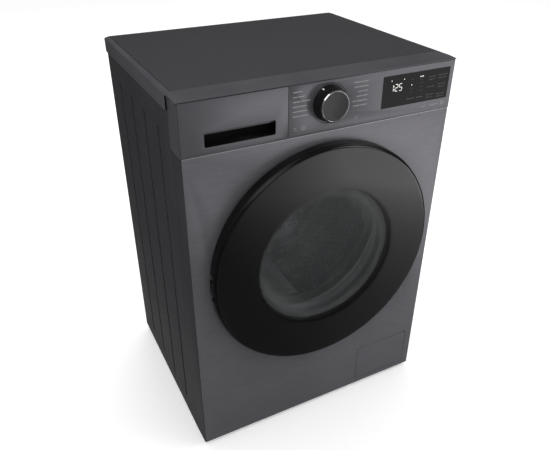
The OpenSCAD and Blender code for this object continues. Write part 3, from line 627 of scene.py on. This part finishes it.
def rounded(work: Mesh, edges: Sequence[bmesh.types.BMEdge], width: float,
            slide: bool = False) -> None:
    """Rounds edges of a mesh.

    Args:
        work: the mesh.
        edges: the edges to round.
        width: how far each rounding reaches, in metres.
        slide: whether it follows the edges beside it.
    """
    bmesh.ops.bevel(work, geom=edges, offset=width, offset_type="OFFSET", segments=2, profile=0.5,
                    affect="EDGES", clamp_overlap=False, material=-1, loop_slide=slide)


def section(radius: float, depth: float, steps: Iterable[Pair]) -> List[Pair]:
    """Places points of an outline by steps in millimetres.

    Args:
        radius: the radius that the steps start from, in metres.
        depth: the Y that they start from.
        steps: outward and backward step of each point.

    Returns:
        Radius and Y of each point in metres.
    """
    return [(radius + out * MM, depth + back * MM) for out, back in steps]


def spun(profile: Sequence[Pair], centre: Pair, steps: int) -> Mesh:
    """Spins a closed or open outline round an axis along Y.

    Args:
        profile: radius and Y of each point in metres, in order; an end at radius 0 closes the shape.
        centre: X and Z of the axis.
        steps: facets in a full turn.

    Returns:
        The closed shape.
    """
    work = bmesh.new()
    pivot = Vector((centre[0], 0.0, centre[1]))
    verts = [work.verts.new(pivot + Vector((radius, y, 0.0))) for radius, y in profile]
    hollow = profile[0][0] > 0 and profile[-1][0] > 0
    edges = [work.edges.new(pair) for pair in zip(verts, verts[1:] + verts[:1] * hollow)]
    bmesh.ops.spin(work, geom=verts + edges, cent=pivot, axis=(0.0, 1.0, 0.0), angle=FULL_TURN, steps=steps,
                   use_merge=True)
    bmesh.ops.remove_doubles(work, verts=work.verts, dist=0.01 * MM)
    bmesh.ops.recalc_face_normals(work, faces=work.faces)
    return work


def add_block(work: Mesh, low: Sequence[float], high: Sequence[float]) -> None:
    """Adds a box to a mesh.

    Args:
        work: the mesh that takes it.
        low: its lowest corner.
        high: its highest corner.
    """
    size = Vector(high) - Vector(low)
    place = Matrix.Translation((Vector(high) + Vector(low)) / 2) @ Matrix.Diagonal((*size, 1.0))
    bmesh.ops.create_cube(work, size=1.0, matrix=place)


def beside(origin: Vector, right: float, up: float) -> Vector:
    """Finds a point on a panel.

    Args:
        origin: the reference point, in metres.
        right: millimetres to its right.
        up: millimetres above it.

    Returns:
        The point in metres.
    """
    return origin + Vector((right * MM, 0.0, up * MM))


def add_pad(work: Mesh, spot: Vector, half_width: float, half_height: float,
            rise: float) -> None:
    """Adds a low pad to a panel.

    Args:
        work: the mesh that takes it.
        spot: its middle on the panel's face.
        half_width: half its width.
        half_height: half its height.
        rise: how far it stands out.
    """
    reach = Vector((half_width, 0.0, half_height))
    add_block(work, spot - reach - Vector((0.0, rise, 0.0)), spot + reach)


def add_ring(work: Mesh, centre: Vector, reach: float, width: float, height: float,
             arc: float = 360.0) -> None:
    """Adds a flat ring, or a part of one, round an axis along Y.

    Args:
        work: the mesh that takes it.
        centre: its middle, on the face that it stands on.
        reach: its mean radius.
        width: its width.
        height: how far it stands out towards -Y.
        arc: degrees that it covers, evenly about its lowest point.
    """
    closed = arc >= 360.0
    start = Matrix.Rotation(math.radians(0.0 if closed else 90.0 - arc / 2), 4, "Y")
    corners = [(-1, 0.0), (1, 0.0), (1, -height), (-1, -height)]
    verts = [work.verts.new(centre + start @ Vector((reach + side * width / 2, y, 0.0)))
             for side, y in corners]
    edges = [work.edges.new(pair) for pair in zip(verts, verts[1:] + verts[:1])]
    made = bmesh.ops.spin(work, geom=verts + edges, cent=centre, axis=(0.0, 1.0, 0.0),
                          angle=math.radians(arc), steps=36, use_merge=closed)
    if not closed:
        last = [v for v in made["geom_last"] if isinstance(v, bmesh.types.BMVert)]
        bmesh.ops.contextual_create(work, geom=verts)
        bmesh.ops.contextual_create(work, geom=last)


def softened(node: str, name: str, width: float, shortest: float = 1.2 * MM) -> Piece:
    """Replaces a solid by a copy whose sharp edges are rounded.

    Args:
        node: the solid's name.
        name: the new piece's name.
        width: how far each rounding reaches, in metres.
        shortest: edges shorter than this stay as they are.

    Returns:
        The new piece.
    """
    work = bmesh.new()
    work.from_mesh(frame["nodes"][node].data)
    bmesh.ops.remove_doubles(work, verts=work.verts, dist=0.005 * MM)
    bmesh.ops.dissolve_limit(work, angle_limit=math.radians(0.5), use_dissolve_boundaries=False,
                             verts=work.verts, edges=work.edges, delimit=set())
    edges = [e for e in work.edges
             if e.is_manifold and e.calc_face_angle(0.0) > SHARP and e.calc_length() > shortest]
    rounded(work, edges, width, slide=True)
    piece = finished(name, work, frame["nodes"][node]["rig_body"], slot_of(node), smooth_angle=30.0)
    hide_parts(node)
    return piece


# ---- finishes by slot

DRUM_CENTRE = (centre_of("door_glass").x, centre_of("door_glass").z)
KNOB_CENTRE = (centre_of("knob").x, centre_of("knob").z)

SLOT_FINISHES: Dict[str, Finish] = {
    "cabinet_paint": Finish("cabinet paint", (0.032, 0.032, 0.036), 0.42, Grain.POWDER, specular=0.35),
    "top_paint": Finish("top sheet paint", (0.045, 0.045, 0.050), 0.45, Grain.SMOOTH_POWDER, specular=0.25),
    "trim_plastic": Finish("trim plastic", (0.060, 0.060, 0.067), 0.36, Grain.MOULDED, specular=0.3),
    "brushed_front": Finish("brushed front steel", (0.134, 0.130, 0.142), 0.36, Grain.BRUSHED_LEVEL,
                            metal=0.5),
    "fascia_plastic": Finish("fascia satin", (0.100, 0.097, 0.107), 0.30, Grain.BRUSHED_FINE, metal=0.5),
    "display_glass": Finish("display glass", (0.003, 0.003, 0.004), 0.05, Grain.GLOSS, specular=0.14),
    "circuit_board": Finish("circuit board", (0.015, 0.11, 0.035), 0.35, Grain.CAST, coat=0.3),
    "zinc_steel": Finish("zinc plated steel", (0.60, 0.60, 0.62), 0.32, Grain.SPANGLE, metal=1.0),
    "galvanised": Finish("galvanised sheet", (0.42, 0.43, 0.45), 0.40, Grain.SPANGLE, metal=0.9),
    "valve_plastic": Finish("valve plastic", (0.72, 0.73, 0.72), 0.45, Grain.MOULDED),
    "hose_rubber": Finish("hose rubber", (0.020, 0.020, 0.021), 0.55, Grain.RUBBER, sheen=0.1),
    "housing_plastic": Finish("dispenser housing plastic", (0.60, 0.61, 0.61), 0.45, Grain.MOULDED),
    "hinge_metal": Finish("hinge casting", (0.30, 0.30, 0.31), 0.38, Grain.CAST, metal=0.9),
    "gasket_rubber": Finish("gasket rubber", (0.26, 0.27, 0.28), 0.50, Grain.RUBBER, sheen=0.15),
    "tub_plastic": Finish("tub plastic", (0.55, 0.56, 0.54), 0.50, Grain.MOULDED),
    "concrete": Finish("cast concrete", (0.36, 0.35, 0.33), 0.85, Grain.CONCRETE),
    "spring_steel": Finish("spring steel", (0.42, 0.42, 0.44), 0.35, Grain.DRAWN, metal=1.0),
    "damper_plastic": Finish("damper plastic", (0.035, 0.035, 0.037), 0.45, Grain.MOULDED),
    "copper_winding": Finish("copper winding", (0.62, 0.25, 0.10), 0.35, Grain.WOUND, metal=0.9),
    "heater_steel": Finish("heater tube", (0.55, 0.54, 0.52), 0.28, Grain.DRAWN, metal=1.0),
    "drain_hose_plastic": Finish("drain hose plastic", (0.26, 0.26, 0.27), 0.50, Grain.MOULDED),
    "black_plastic": Finish("black plastic", (0.018, 0.018, 0.019), 0.42, Grain.MOULDED),
    "bearing_steel": Finish("bearing steel", (0.62, 0.62, 0.63), 0.20, Grain.DRAWN, metal=1.0),
    "cap_plastic": Finish("cap plastic", (0.16, 0.16, 0.17), 0.45, Grain.MOULDED),
    "drum_steel": Perforated("perforated drum steel", (0.62, 0.62, 0.64), 0.24, Grain.DRAWN, metal=1.0,
                             centre=DRUM_CENTRE),
    "lifter_plastic": Finish("lifter plastic", (0.66, 0.67, 0.68), 0.38, Grain.MOULDED),
    "spider_alloy": Finish("spider casting", (0.50, 0.50, 0.51), 0.45, Grain.CAST, metal=0.9),
    "rotor_steel": Finish("rotor steel", (0.40, 0.40, 0.42), 0.38, Grain.SPANGLE, metal=0.9),
    "door_glass": TintedGlass("tinted door glass", (0.0035, 0.0035, 0.004), 0.06, Grain.GLOSS,
                              centre=DRUM_CENTRE, clear_reach=0.166, hold=0.25),
    "door_rim": Finish("door rim plastic", (0.0035, 0.0035, 0.004), 0.32, Grain.MOULDED, specular=0.25),
    "door_inner": Finish("door inner plastic", (0.040, 0.040, 0.043), 0.38, Grain.MOULDED),
    "bowl_glass": BowlGlass("bowl glass", (0.40, 0.42, 0.42), 0.06, Grain.GLOSS, coat=0.3),
    "hook_metal": Finish("hook zinc", (0.62, 0.62, 0.64), 0.30, Grain.CAST, metal=1.0),
    "knob_black": Finish("knob satin black", (0.004, 0.004, 0.0045), 0.22, Grain.GLOSS),
    "knob_metal": SpunMetal("knob spun metal", (0.040, 0.040, 0.041), 0.20, Grain.GLOSS, metal=1.0,
                            centre=KNOB_CENTRE),
    "tray_plastic": Finish("tray plastic", (0.60, 0.63, 0.66), 0.42, Grain.MOULDED),
    "filter_plastic": Finish("filter plastic", (0.05, 0.14, 0.34), 0.42, Grain.MOULDED),
    "foot_rubber": Finish("foot rubber", (0.018, 0.018, 0.019), 0.60, Grain.RUBBER, sheen=0.1),
}

END_STEEL = Perforated("perforated drum end", (0.62, 0.62, 0.64), 0.26, Grain.DRAWN, metal=1.0,
                       spread=Spread.FLAT_END, centre=DRUM_CENTRE, pitch=0.017)
CHROME = Finish("bright chrome", (0.74, 0.74, 0.76), 0.14, Grain.GLOSS, metal=1.0)
# Pale grey metal strip: a painted highlight for the light that the front sheet's top fold catches
FOLD_HIGHLIGHT = Finish("painted fold highlight", (0.34, 0.34, 0.36), 0.30, Grain.DRAWN, metal=0.6)
# Flat, barely glossy black: painted shade for the inside of the drawer's handle
POCKET_SHADE = Finish("pocket painted shade", (0.003, 0.003, 0.0035), 0.55, Grain.MOULDED, specular=0.1)
PRINT = Finish("pale print", (0.26, 0.26, 0.27), 0.50, Grain.MOULDED, specular=0.2)
PRINT_DIM = Finish("dim print", (0.030, 0.030, 0.032), 0.50, Grain.MOULDED)
DIAL_MARK = Finish("dial mark", (0.80, 0.80, 0.80), 0.40, Grain.MOULDED)
LAMP_WHITE = Lamp("white lamp", (0.84, 0.82, 0.78), 0.40, Grain.MOULDED, specular=0.1, glow=0.35)
LAMP_DIM = Lamp("soft lamp", (0.075, 0.075, 0.077), 0.40, Grain.MOULDED, specular=0.3, glow=0.10)


def slot_of(node: str) -> str:
    """Finds the material slot that the record gives a solid.

    Args:
        node: the solid's name.

    Returns:
        The slot.
    """
    return next(part["material_slot"] for part in frame["record"]["subparts"] if part["node"] == node)


def dress(node: str, finish: Finish) -> None:
    """Gives a solid of the frame its finish.

    Args:
        node: the solid's name.
        finish: the finish.
    """
    solid = frame["nodes"][node]
    if not solid.material_slots:
        solid.data.materials.append(finish.material())
    for place in solid.material_slots:
        place.material = finish.material()
    LOG.info("%s: %s", node, finish.name)


# ---- sub-assemblies


@dataclass
class Cabinet:
    """Outer sheets, trims and the service hatch.

    Attributes:
        sheet_round: rounding of the edges of thin sheet.
        hatch_round: rounding of the hatch's edges.
        trim_round: rounding of the edges of the moulded top trim.
        groove_round: rounding of the top sheet's edges.
        edge_size: size of the strip along the front sheet's top fold that carries a painted highlight.
        edge_inset: how far it stops short of the sheet's ends.
    """

    sheet_round: float = 0.45 * MM
    hatch_round: float = 0.2 * MM
    trim_round: float = 1.1 * MM
    groove_round: float = 0.9 * MM
    edge_size: float = 0.9 * MM
    edge_inset: float = 1.0 * MM

    def build(self) -> None:
        """Rounds the edges that catch the light."""
        softened("top_trim", "top_trim_shell", self.trim_round)
        softened("top_panel", "top_sheet", self.groove_round)
        softened("front_panel", "front_sheet", self.sheet_round)
        softened("service_hatch", "hatch_cover", self.hatch_round)
        softened("side_panel_left", "side_sheet_left", self.sheet_round)
        softened("side_panel_right", "side_sheet_right", self.sheet_round)
        self.fold_highlight()

    def fold_highlight(self) -> None:
        """Adds a pale strip along the front sheet's top fold, a painted highlight that shows as a thin light
        line where the fold catches light.
        """
        low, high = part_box("front_panel")
        work = bmesh.new()
        add_block(work, (low.x + self.edge_inset, low.y - self.edge_size / 4, high.z - self.edge_size),
                  (high.x - self.edge_inset, low.y + self.edge_size, high.z + self.edge_size / 2))
        rounded(work, [e for e in work.edges if e.calc_length() > 0.1], self.edge_size / 4)
        # The strip is a painted highlight along the fold, not a part of its own
        finished("front_top_highlight", work, "cabinet", "brushed_front", FOLD_HIGHLIGHT)


# Width and height of the strokes of a generic printed row, as shares of its size
GLYPHS = ((0.50, 1.0), (0.42, 0.76), (0.55, 0.76), (0.20, 1.0), (0.46, 0.76), (0.60, 0.76), (0.40, 1.0),
          (0.52, 0.76), (0.24, 0.95), (0.48, 0.76))


@dataclass(frozen=True)
class Label:
    """A row of generic marks that stands for a printed line, in millimetres from a reference point.

    Attributes:
        left: X of its left end.
        height: Z of its middle.
        length: its whole length.
        size: height of its strokes.
        words: lengths of its words as shares of the whole.
    """

    left: float
    height: float
    length: float
    size: float = 1.5
    words: Tuple[float, ...] = (0.55, 0.45)


WHOLE = (1.0,)
EVEN = (0.5, 0.5)
SPLIT = (0.45, 0.55)
LATE = (0.3, 0.7)
LEFT_ROWS = ((20.0, WHOLE), (24.0, SPLIT), (36.5, SPLIT), (30.0, SPLIT), (30.0, WHOLE), (33.0, SPLIT))
RIGHT_ROWS = ((32.5, EVEN), (31.0, LATE), (23.0, EVEN), (25.0, EVEN), (34.0, LATE), (32.0, EVEN))
PROGRAMMES = (
    *(Label(-78.0, 31.5 - 9.2 * step, length, 2.4, words) for step, (length, words) in enumerate(LEFT_ROWS)),
    *(Label(85.0 - length, 31.5 - 9.2 * step, length, 2.4, words)
      for step, (length, words) in enumerate(RIGHT_ROWS)))
KNOB_SIGNS = (Label(-76.0, -37.0, 6.5, 1.4, WHOLE), Label(-76.0, -41.0, 6.5, 1.4, WHOLE),
              Label(59.0, -37.0, 7.0, 1.4, EVEN), Label(59.0, -41.0, 7.0, 1.4, EVEN))
WINDOW_SIGNS = (Label(17.0, -42.6, 13.0, 1.7, WHOLE), Label(42.0, -42.6, 20.0, 2.2, (0.3, 0.35, 0.35)))
DOUBLE_ROWS = (Label(29.0, 17.5, 19.0), Label(53.0, 18.0, 24.0), Label(55.0, -0.5, 20.0),
               Label(26.5, -19.5, 21.0), Label(53.0, -21.0, 23.0))
SINGLE_ROWS = (Label(27.0, -3.0, 20.0), Label(-21.5, -20.7, 19.0, 1.9), Label(3.0, -20.7, 16.5, 1.9))
LIT_ROW = Label(7.0, 21.5, 9.5, 2.4, WHOLE)
DIM_ROWS = (*(Label(8.0, height, 8.5, 1.6, WHOLE) for height in (15.0, 8.5, 1.0, -7.0)),
            *(Label(-14.0, height, 4.0, 2.2, WHOLE) for height in (18.0, 0.0, -7.5)))
# Round sign from the knob's axis, power sign from the window's middle, and their mean radius
RING_SIGN = (-54.5, -39.0)
POWER_SIGN = (73.5, -42.5)
SIGN_REACH = 3.6 * MM
# Values and places of the digits, their height, the dots of their colon and the lamps, from the same middle
DIGITS = ((1, -60.0), (2, -49.5), (5, -39.5))
DIGIT_UP = 6.6
COLON = ((-54.8, DIGIT_UP + 2.6), (-54.8, DIGIT_UP - 2.6))
LAMP_SPOTS = ((-62.0, 21.5), (-32.0, 21.5), (-12.2, 7.0))


@dataclass
class ControlPanel:
    """Fascia, drawer front, printed rows, display and its lamps; the layout is in millimetres.

    Attributes:
        edge_round: rounding of the fascia's edges.
        pane_round: rounding of the display window's edges.
        print_height: how far a printed mark stands out.
        lamp_height: how far a lamp stands out of the display's glass.
        word_gap: space between words.
        glyph_gap: space between strokes, as a share of their height.
        shortest_stroke: room that a further stroke needs.
        painted_shade_from: depth from which the drawer's front gets painted shade, a flat black.
        bar_depth: depth of the grip bar's front.
    """

    edge_round: float = 0.8 * MM
    pane_round: float = 0.5 * MM
    print_height: float = 0.06 * MM
    lamp_height: float = 0.08 * MM
    word_gap: float = 1.4
    glyph_gap: float = 0.2
    shortest_stroke: float = 0.5
    painted_shade_from: float = 1.0 * MM
    bar_depth: float = 11.0 * MM

    def build(self) -> None:
        """Builds the panel's pieces."""
        softened("control_fascia", "fascia_shell", self.edge_round)
        self.shade_pocket(softened("drawer_front", "drawer_face", self.edge_round))
        softened("display_window", "display_pane", self.pane_round, shortest=0.3 * MM)
        self.printed_rows()
        self.display_marks()

    def shade_pocket(self, drawer: Piece) -> None:
        """Paints shade into the inside of the drawer's handle as flat black, apart from the front of its grip
        bar.

        Args:
            drawer: the drawer's front piece.
        """
        mesh = drawer.data
        # Faces inside the handle's recess take painted shade, a flat black finish
        mesh.materials.append(POCKET_SHADE.material())
        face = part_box("drawer_front")[0].y
        for polygon in mesh.polygons:
            depth = polygon.center.y - face
            bar_front = polygon.normal.y < -0.5 and depth < self.bar_depth
            if depth > self.painted_shade_from and not bar_front:
                polygon.material_index = 1

    def rows(self, work: Mesh, origin: Vector, labels: Iterable[Label], rise: float) -> None:
        """Adds printed rows, word by word and stroke by stroke.

        Args:
            work: the mesh that takes them.
            origin: the reference point that they are measured from.
            labels: the rows.
            rise: how far they stand out.
        """
        for label in labels:
            start, end = label.left, label.left + label.length
            room = label.length - self.word_gap * (len(label.words) - 1)
            place = int(abs(label.height))
            for share in label.words:
                stop = min(end, start + room * share)
                while start < stop - self.shortest_stroke:
                    width, tall = GLYPHS[place % len(GLYPHS)]
                    width = min(width * label.size, stop - start)
                    low = beside(origin, start, label.height - label.size / 2)
                    add_block(work, low - Vector((0.0, rise, 0.0)), beside(low, width, label.size * tall))
                    start += width + self.glyph_gap * label.size
                    place += 1
                start = stop + self.word_gap

    def printed_rows(self) -> None:
        """Prints the rows and signs beside the knob and under the display."""
        face_y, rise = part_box("front_panel")[0].y, self.print_height
        knob = Vector((KNOB_CENTRE[0], face_y, KNOB_CENTRE[1]))
        window = centre_of("display_window")
        window.y = face_y
        names, signs = bmesh.new(), bmesh.new()
        self.rows(names, knob, PROGRAMMES, rise)
        finished("programme_print", names, "cabinet", "fascia_plastic", PRINT)
        self.rows(signs, knob, KNOB_SIGNS, rise)
        self.rows(signs, window, WINDOW_SIGNS, rise)
        add_ring(signs, beside(knob, *RING_SIGN), SIGN_REACH, 1.0 * MM, rise)
        power = beside(window, *POWER_SIGN)
        add_ring(signs, power, SIGN_REACH, 0.9 * MM, rise, arc=290.0)
        add_block(signs, beside(power, -0.4, 0.0) - Vector((0.0, rise, 0.0)), beside(power, 0.4, 4.7))
        finished("panel_signs", signs, "cabinet", "fascia_plastic", PRINT)

    def display_marks(self) -> None:
        """Puts the lit time, the lamps and the printed rows on the display's glass."""
        origin, rise = centre_of("display_window"), self.lamp_height
        origin.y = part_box("display_window")[0].y
        lit, rows, dim = bmesh.new(), bmesh.new(), bmesh.new()
        for value, right in DIGITS:
            self.digit(lit, beside(origin, right, DIGIT_UP), value)
        for spots, half in ((COLON, 0.6 * MM), (LAMP_SPOTS, 0.9 * MM)):
            for spot in spots:
                add_pad(lit, beside(origin, *spot), half, half, rise)
        self.rows(lit, origin, (LIT_ROW,), rise)
        finished("display_lamps", lit, "cabinet", "display_glass", LAMP_WHITE)
        for upper in DOUBLE_ROWS:
            lower = Label(upper.left + 2.0, upper.height - 5.6, upper.length - 4.0, words=(0.7, 0.3))
            self.rows(rows, origin, (upper, lower), rise)
        self.rows(rows, origin, SINGLE_ROWS, rise)
        finished("display_print", rows, "cabinet", "display_glass", LAMP_DIM)
        self.rows(dim, origin, DIM_ROWS, rise)
        finished("display_dim_marks", dim, "cabinet", "display_glass", PRINT_DIM)

    def digit(self, work: Mesh, centre: Vector, value: int) -> None:
        """Adds a seven-segment digit.

        Args:
            work: the mesh that takes it.
            centre: its middle on the glass.
            value: the digit.
        """
        half_w, half_h, stroke = 3.2, 6.8, 1.2
        lit = {1: "bc", 2: "abged", 5: "afgcd"}[value]
        bars = {"a": (0.0, half_h), "d": (0.0, -half_h), "g": (0.0, 0.0), "b": (half_w, half_h / 2),
                "c": (half_w, -half_h / 2), "f": (-half_w, half_h / 2), "e": (-half_w, -half_h / 2)}
        level = (half_w - stroke * 0.6, stroke / 2)
        upright = (stroke / 2, half_h / 2 - stroke * 0.6)
        for key in lit:
            half_wide, half_tall = level if key in "adg" else upright
            add_pad(work, beside(centre, *bars[key]), half_wide * MM, half_tall * MM, self.lamp_height)


# Sections of the knob, as outward and backward steps in millimetres: from the cap's rim and the front ...
SHOULDER = ((0.7, 1.9), (1.8, 1.9), (2.5, 2.2), (3.0, 3.1))
SEAT = ((-1.0, 3.0), (0.5, 2.2))
RING = ((-1.2, 0.6), (-1.0, 0.1), (-0.8, 0.0), (-0.5, 0.05), (0.9, 1.7), (0.9, 2.1), (-1.2, 2.1))
DISHED_FACE = ((-3.5, 0.9), (-1.9, 0.6), (-1.4, 0.8), (-1.4, 2.4))
# ... and from the foot's rim and the back
FOOT = ((-0.5, -3.6), (-0.15, -3.1), (0.0, -2.5), (0.0, 0.0))
# Ground edge of the door's glass disc, from its rim and its front
DISC_EDGE = ((-6.0, 0.0), (-4.0, 0.15), (-2.0, 0.7), (-0.7, 1.6), (0.0, 2.8))


@dataclass
class Knob:
    """The programme knob with its bright ring and mark.

    Attributes:
        steps: facets in a full turn.
        bore: radius of the hole in the body.
        mark_turn: degrees that the mark is turned from straight up, to the left.
        mark_low: lowest corner of the mark, in millimetres from the foot's rim and the back.
        mark_high: its highest corner.
        mark_round: rounding of its edges.
    """

    steps: int = 128
    bore: float = 4.0 * MM
    mark_turn: float = -30.0
    mark_low: Point = (-1.4, -6.2, -1.0)
    mark_high: Point = (1.4, -1.2, 0.3)
    mark_round: float = 0.2 * MM

    def build(self) -> None:
        """Builds the knob's body, ring, cap and mark."""
        low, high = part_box("knob")
        y0, y1 = low.y, high.y
        base_r = (high.x - low.x) / 2
        cap_r = (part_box("knob_cap")[1].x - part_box("knob_cap")[0].x) / 2
        side = [*section(cap_r, y0, SHOULDER), *section(base_r, y1, FOOT), (self.bore, y1),
                (self.bore, y0 + 3.0 * MM), *section(cap_r, y0, SEAT)]
        cap = [(0.0, y0 + 1.3 * MM), *section(cap_r, y0, DISHED_FACE), (0.0, y0 + 2.4 * MM)]
        turned = (("knob_body", side, "knob_black", None, "knob"),
                  ("knob_ring", section(cap_r, y0, RING), "knob_metal", CHROME, None),
                  ("knob_face", cap, "knob_metal", None, "knob_cap"))
        for name, outline, slot, finish, node in turned:
            piece = finished(name, spun(outline, KNOB_CENTRE, self.steps), "knob", slot, finish)
            if node:
                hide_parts(node)
        self.mark(Vector((0.0, y1, base_r)))

    def mark(self, foot: Vector) -> None:
        """Adds the pale mark at the knob's foot.

        Args:
            foot: the point of the foot's rim over the axis, measured from the axis.
        """
        work = bmesh.new()
        add_block(work, foot + Vector(self.mark_low) * MM, foot + Vector(self.mark_high) * MM)
        rounded(work, work.edges[:], self.mark_round)
        lean = Matrix.Rotation(math.radians(self.mark_turn), 4, "Y")
        place = Matrix.Translation((KNOB_CENTRE[0], 0.0, KNOB_CENTRE[1])) @ lean
        bmesh.ops.transform(work, matrix=place, verts=work.verts)
        finished("knob_mark", work, "knob", "knob_black", DIAL_MARK)


@dataclass
class Door:
    """Glass disc of the round door.

    Attributes:
        steps: facets in a full turn.
    """

    steps: int = 224

    def build(self) -> None:
        """Builds the glass disc with its ground edge."""
        low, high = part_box("door_glass")
        reach, front, back = (high.x - low.x) / 2, low.y, high.y
        profile = [(0.0, front), *section(reach, front, DISC_EDGE), (reach, back), (0.0, back)]
        disc = finished("door_disc", spun(profile, DRUM_CENTRE, self.steps), "door", "door_glass")
        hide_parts("door_glass")


# ---- studio


@dataclass
class Studio:
    """Camera, lights and floor.

    Attributes:
        eye: place of the camera.
        azimuth: degrees that the camera is swung to the left of the machine's front.
        elevation: degrees that it looks down.
        roll: degrees that its picture is rolled.
        lens: focal length in millimetres on a 36 mm wide sensor.
        floor_half: half the length of the floor's side.
        floor_light: how much the floor glows by itself.
        sky_light: strength of the surround as light.
        sky_mirrored: strength of the surround as glossy faces show it.
        strip_rise: span of X where the mirrored glow on the left rises, and its strength at both ends.
        strip_fall: the same for the span beside it where it falls.
        lead_turn: distance in Y from which the glow on the right falls.
        lead_loss: how fast it falls there.
        lead_least: least that distance counts for.
        lead_most: limit of the glow's growth.
        lead_gain: strength of the glow on the right.
    """

    eye: Point = (-0.5662, -1.1075, 1.1672)
    azimuth: float = -27.192
    elevation: float = 31.316
    roll: float = 0.189
    lens: float = 38.033
    floor_half: float = 20.0
    floor_light: float = 0.17
    sky_light: float = 0.85
    sky_mirrored: float = 0.12
    strip_rise: Tuple[float, ...] = (-0.52, -0.35, 0.045, 0.20)
    strip_fall: Tuple[float, ...] = (-0.35, -0.22, 0.0, 0.13)
    lead_turn: float = 1.45
    lead_loss: float = 1.6
    lead_least: float = 0.5
    lead_most: float = 1.3
    lead_gain: float = 0.55

    def build(self) -> None:
        """Builds the whole studio."""
        self.camera()
        self.floor()
        self.sky()
        self.lamp("key", (-1.6, -2.2, 3.4), (0.0, 0.0, 0.5), 2.4, 36.0)
        self.lamp("fill", (2.6, -1.8, 2.4), (0.0, 0.0, 0.5), 2.0, 30.0)
        self.lamp("back", (0.6, 2.8, 3.0), (0.0, 0.0, 0.6), 2.4, 40.0, mirrored=False)
        view = bpy.context.scene.view_settings
        view.view_transform = "Standard"
        view.look = "None"

    def camera(self) -> None:
        """Places the camera."""
        swing, tilt = math.radians(self.azimuth), math.radians(self.elevation)
        back = Vector((math.sin(swing) * math.cos(tilt), -math.cos(swing) * math.cos(tilt), math.sin(tilt)))
        right = Vector((0.0, 0.0, 1.0)).cross(back).normalized()
        up = back.cross(right)
        turn = Matrix((right, up, back)).transposed() @ Matrix.Rotation(math.radians(self.roll), 3, "Z")
        data = bpy.data.cameras.new("camera")
        data.lens = self.lens
        data.sensor_width = 36.0
        data.clip_start = 0.01
        eye = bpy.data.objects.new("camera", data)
        eye.matrix_world = Matrix.Translation(self.eye) @ turn.to_4x4()
        bpy.context.scene.collection.objects.link(eye)
        bpy.context.scene.camera = eye

    def floor(self) -> None:
        """Lays a pale floor that gives glossy faces a soft rise from dark to light."""
        work = bmesh.new()
        bmesh.ops.create_grid(work, x_segments=4, y_segments=4, size=self.floor_half)
        mesh = bpy.data.meshes.new("floor")
        work.to_mesh(mesh)
        work.free()
        floor = bpy.data.objects.new("floor", mesh)
        bpy.context.scene.collection.objects.link(floor)
        material = bpy.data.materials.new("pale floor")
        material.use_nodes = True
        tree = material.node_tree
        wire = Wiring(tree)
        shader = tree.nodes["Principled BSDF"]
        wire.feed(shader, {"Base Color": (0.97, 0.97, 0.97, 1.0), "Roughness": 0.9, "Specular IOR Level": 0.0,
                           "Emission Color": (1.0, 1.0, 1.0, 1.0), "Emission Strength": self.floor_light})
        place = wire.parts(wire.add("ShaderNodeTexCoord").outputs["Object"])
        # The glow that glossy faces see grows with distance to the front and to the right
        forward = wire.math("ABSOLUTE", place["Y"])
        beyond = wire.math("MAXIMUM", wire.math("SUBTRACT", forward, self.lead_turn), 0.0)
        reach = wire.math("MULTIPLY_ADD", beyond, -self.lead_loss, forward)
        reach = wire.math("MAXIMUM", reach, self.lead_least)
        lead = wire.math("MULTIPLY", wire.math("MAXIMUM", place["X"], 0.0), reach)
        lead = wire.math("MINIMUM", lead, self.lead_most)
        strip = wire.math("SUBTRACT", wire.span(place["X"], *self.strip_rise),
                          wire.span(place["X"], *self.strip_fall))
        curve = wire.math("MULTIPLY", lead, wire.math("MULTIPLY_ADD", lead, self.lead_gain, self.lead_gain))
        glow = wire.math("ADD", strip, curve)
        sheen = wire.add("ShaderNodeEmission", {"Color": (1.0, 1.0, 1.0, 1.0), "Strength": glow})
        path = wire.add("ShaderNodeLightPath")
        mixed = wire.add("ShaderNodeMixShader", {0: path.outputs["Is Glossy Ray"], 1: shader.outputs[0],
                                                 2: sheen.outputs[0]})
        wire.feed(tree.nodes["Material Output"], {"Surface": mixed.outputs[0]})
        mesh.materials.append(material)

    def sky(self) -> None:
        """Sets an even pale surround."""
        world = bpy.data.worlds.new("studio")
        world.use_nodes = True
        wire = Wiring(world.node_tree)
        ground = world.node_tree.nodes["Background"]
        seen = wire.add("ShaderNodeLightPath").outputs["Is Glossy Ray"]
        strength = wire.span(seen, 0.0, 1.0, self.sky_light, self.sky_mirrored, smooth=False)
        wire.feed(ground, {"Color": (0.95, 0.95, 0.96, 1.0), "Strength": strength})
        bpy.context.scene.world = world

    def lamp(self, name: str, place: Point, aim: Point, size: float, power: float,
             mirrored: bool = True) -> None:
        """Adds a soft square lamp.

        Args:
            name: the lamp's name.
            place: where it hangs.
            aim: the point that it faces.
            size: length of its side.
            power: its power in watts.
            mirrored: whether glossy faces show it.
        """
        data = bpy.data.lights.new(name, "AREA")
        data.size = size
        data.energy = power
        lamp = bpy.data.objects.new(name, data)
        lamp.visible_glossy = mirrored
        facing = (Vector(place) - Vector(aim)).to_track_quat("Z", "Y")
        lamp.matrix_world = Matrix.Translation(place) @ facing.to_matrix().to_4x4()
        bpy.context.scene.collection.objects.link(lamp)


def main() -> None:
    """Builds the machine's looks in order."""
    logging.basicConfig(level=logging.INFO, format="%(message)s")
    for node in frame["nodes"]:
        dress(node, END_STEEL if node == "drum_back" else SLOT_FINISHES[slot_of(node)])
    for assembly in (Cabinet(), ControlPanel(), Knob(), Door(), Studio()):
        assembly.build()


if __name__ == "__main__":
    main()
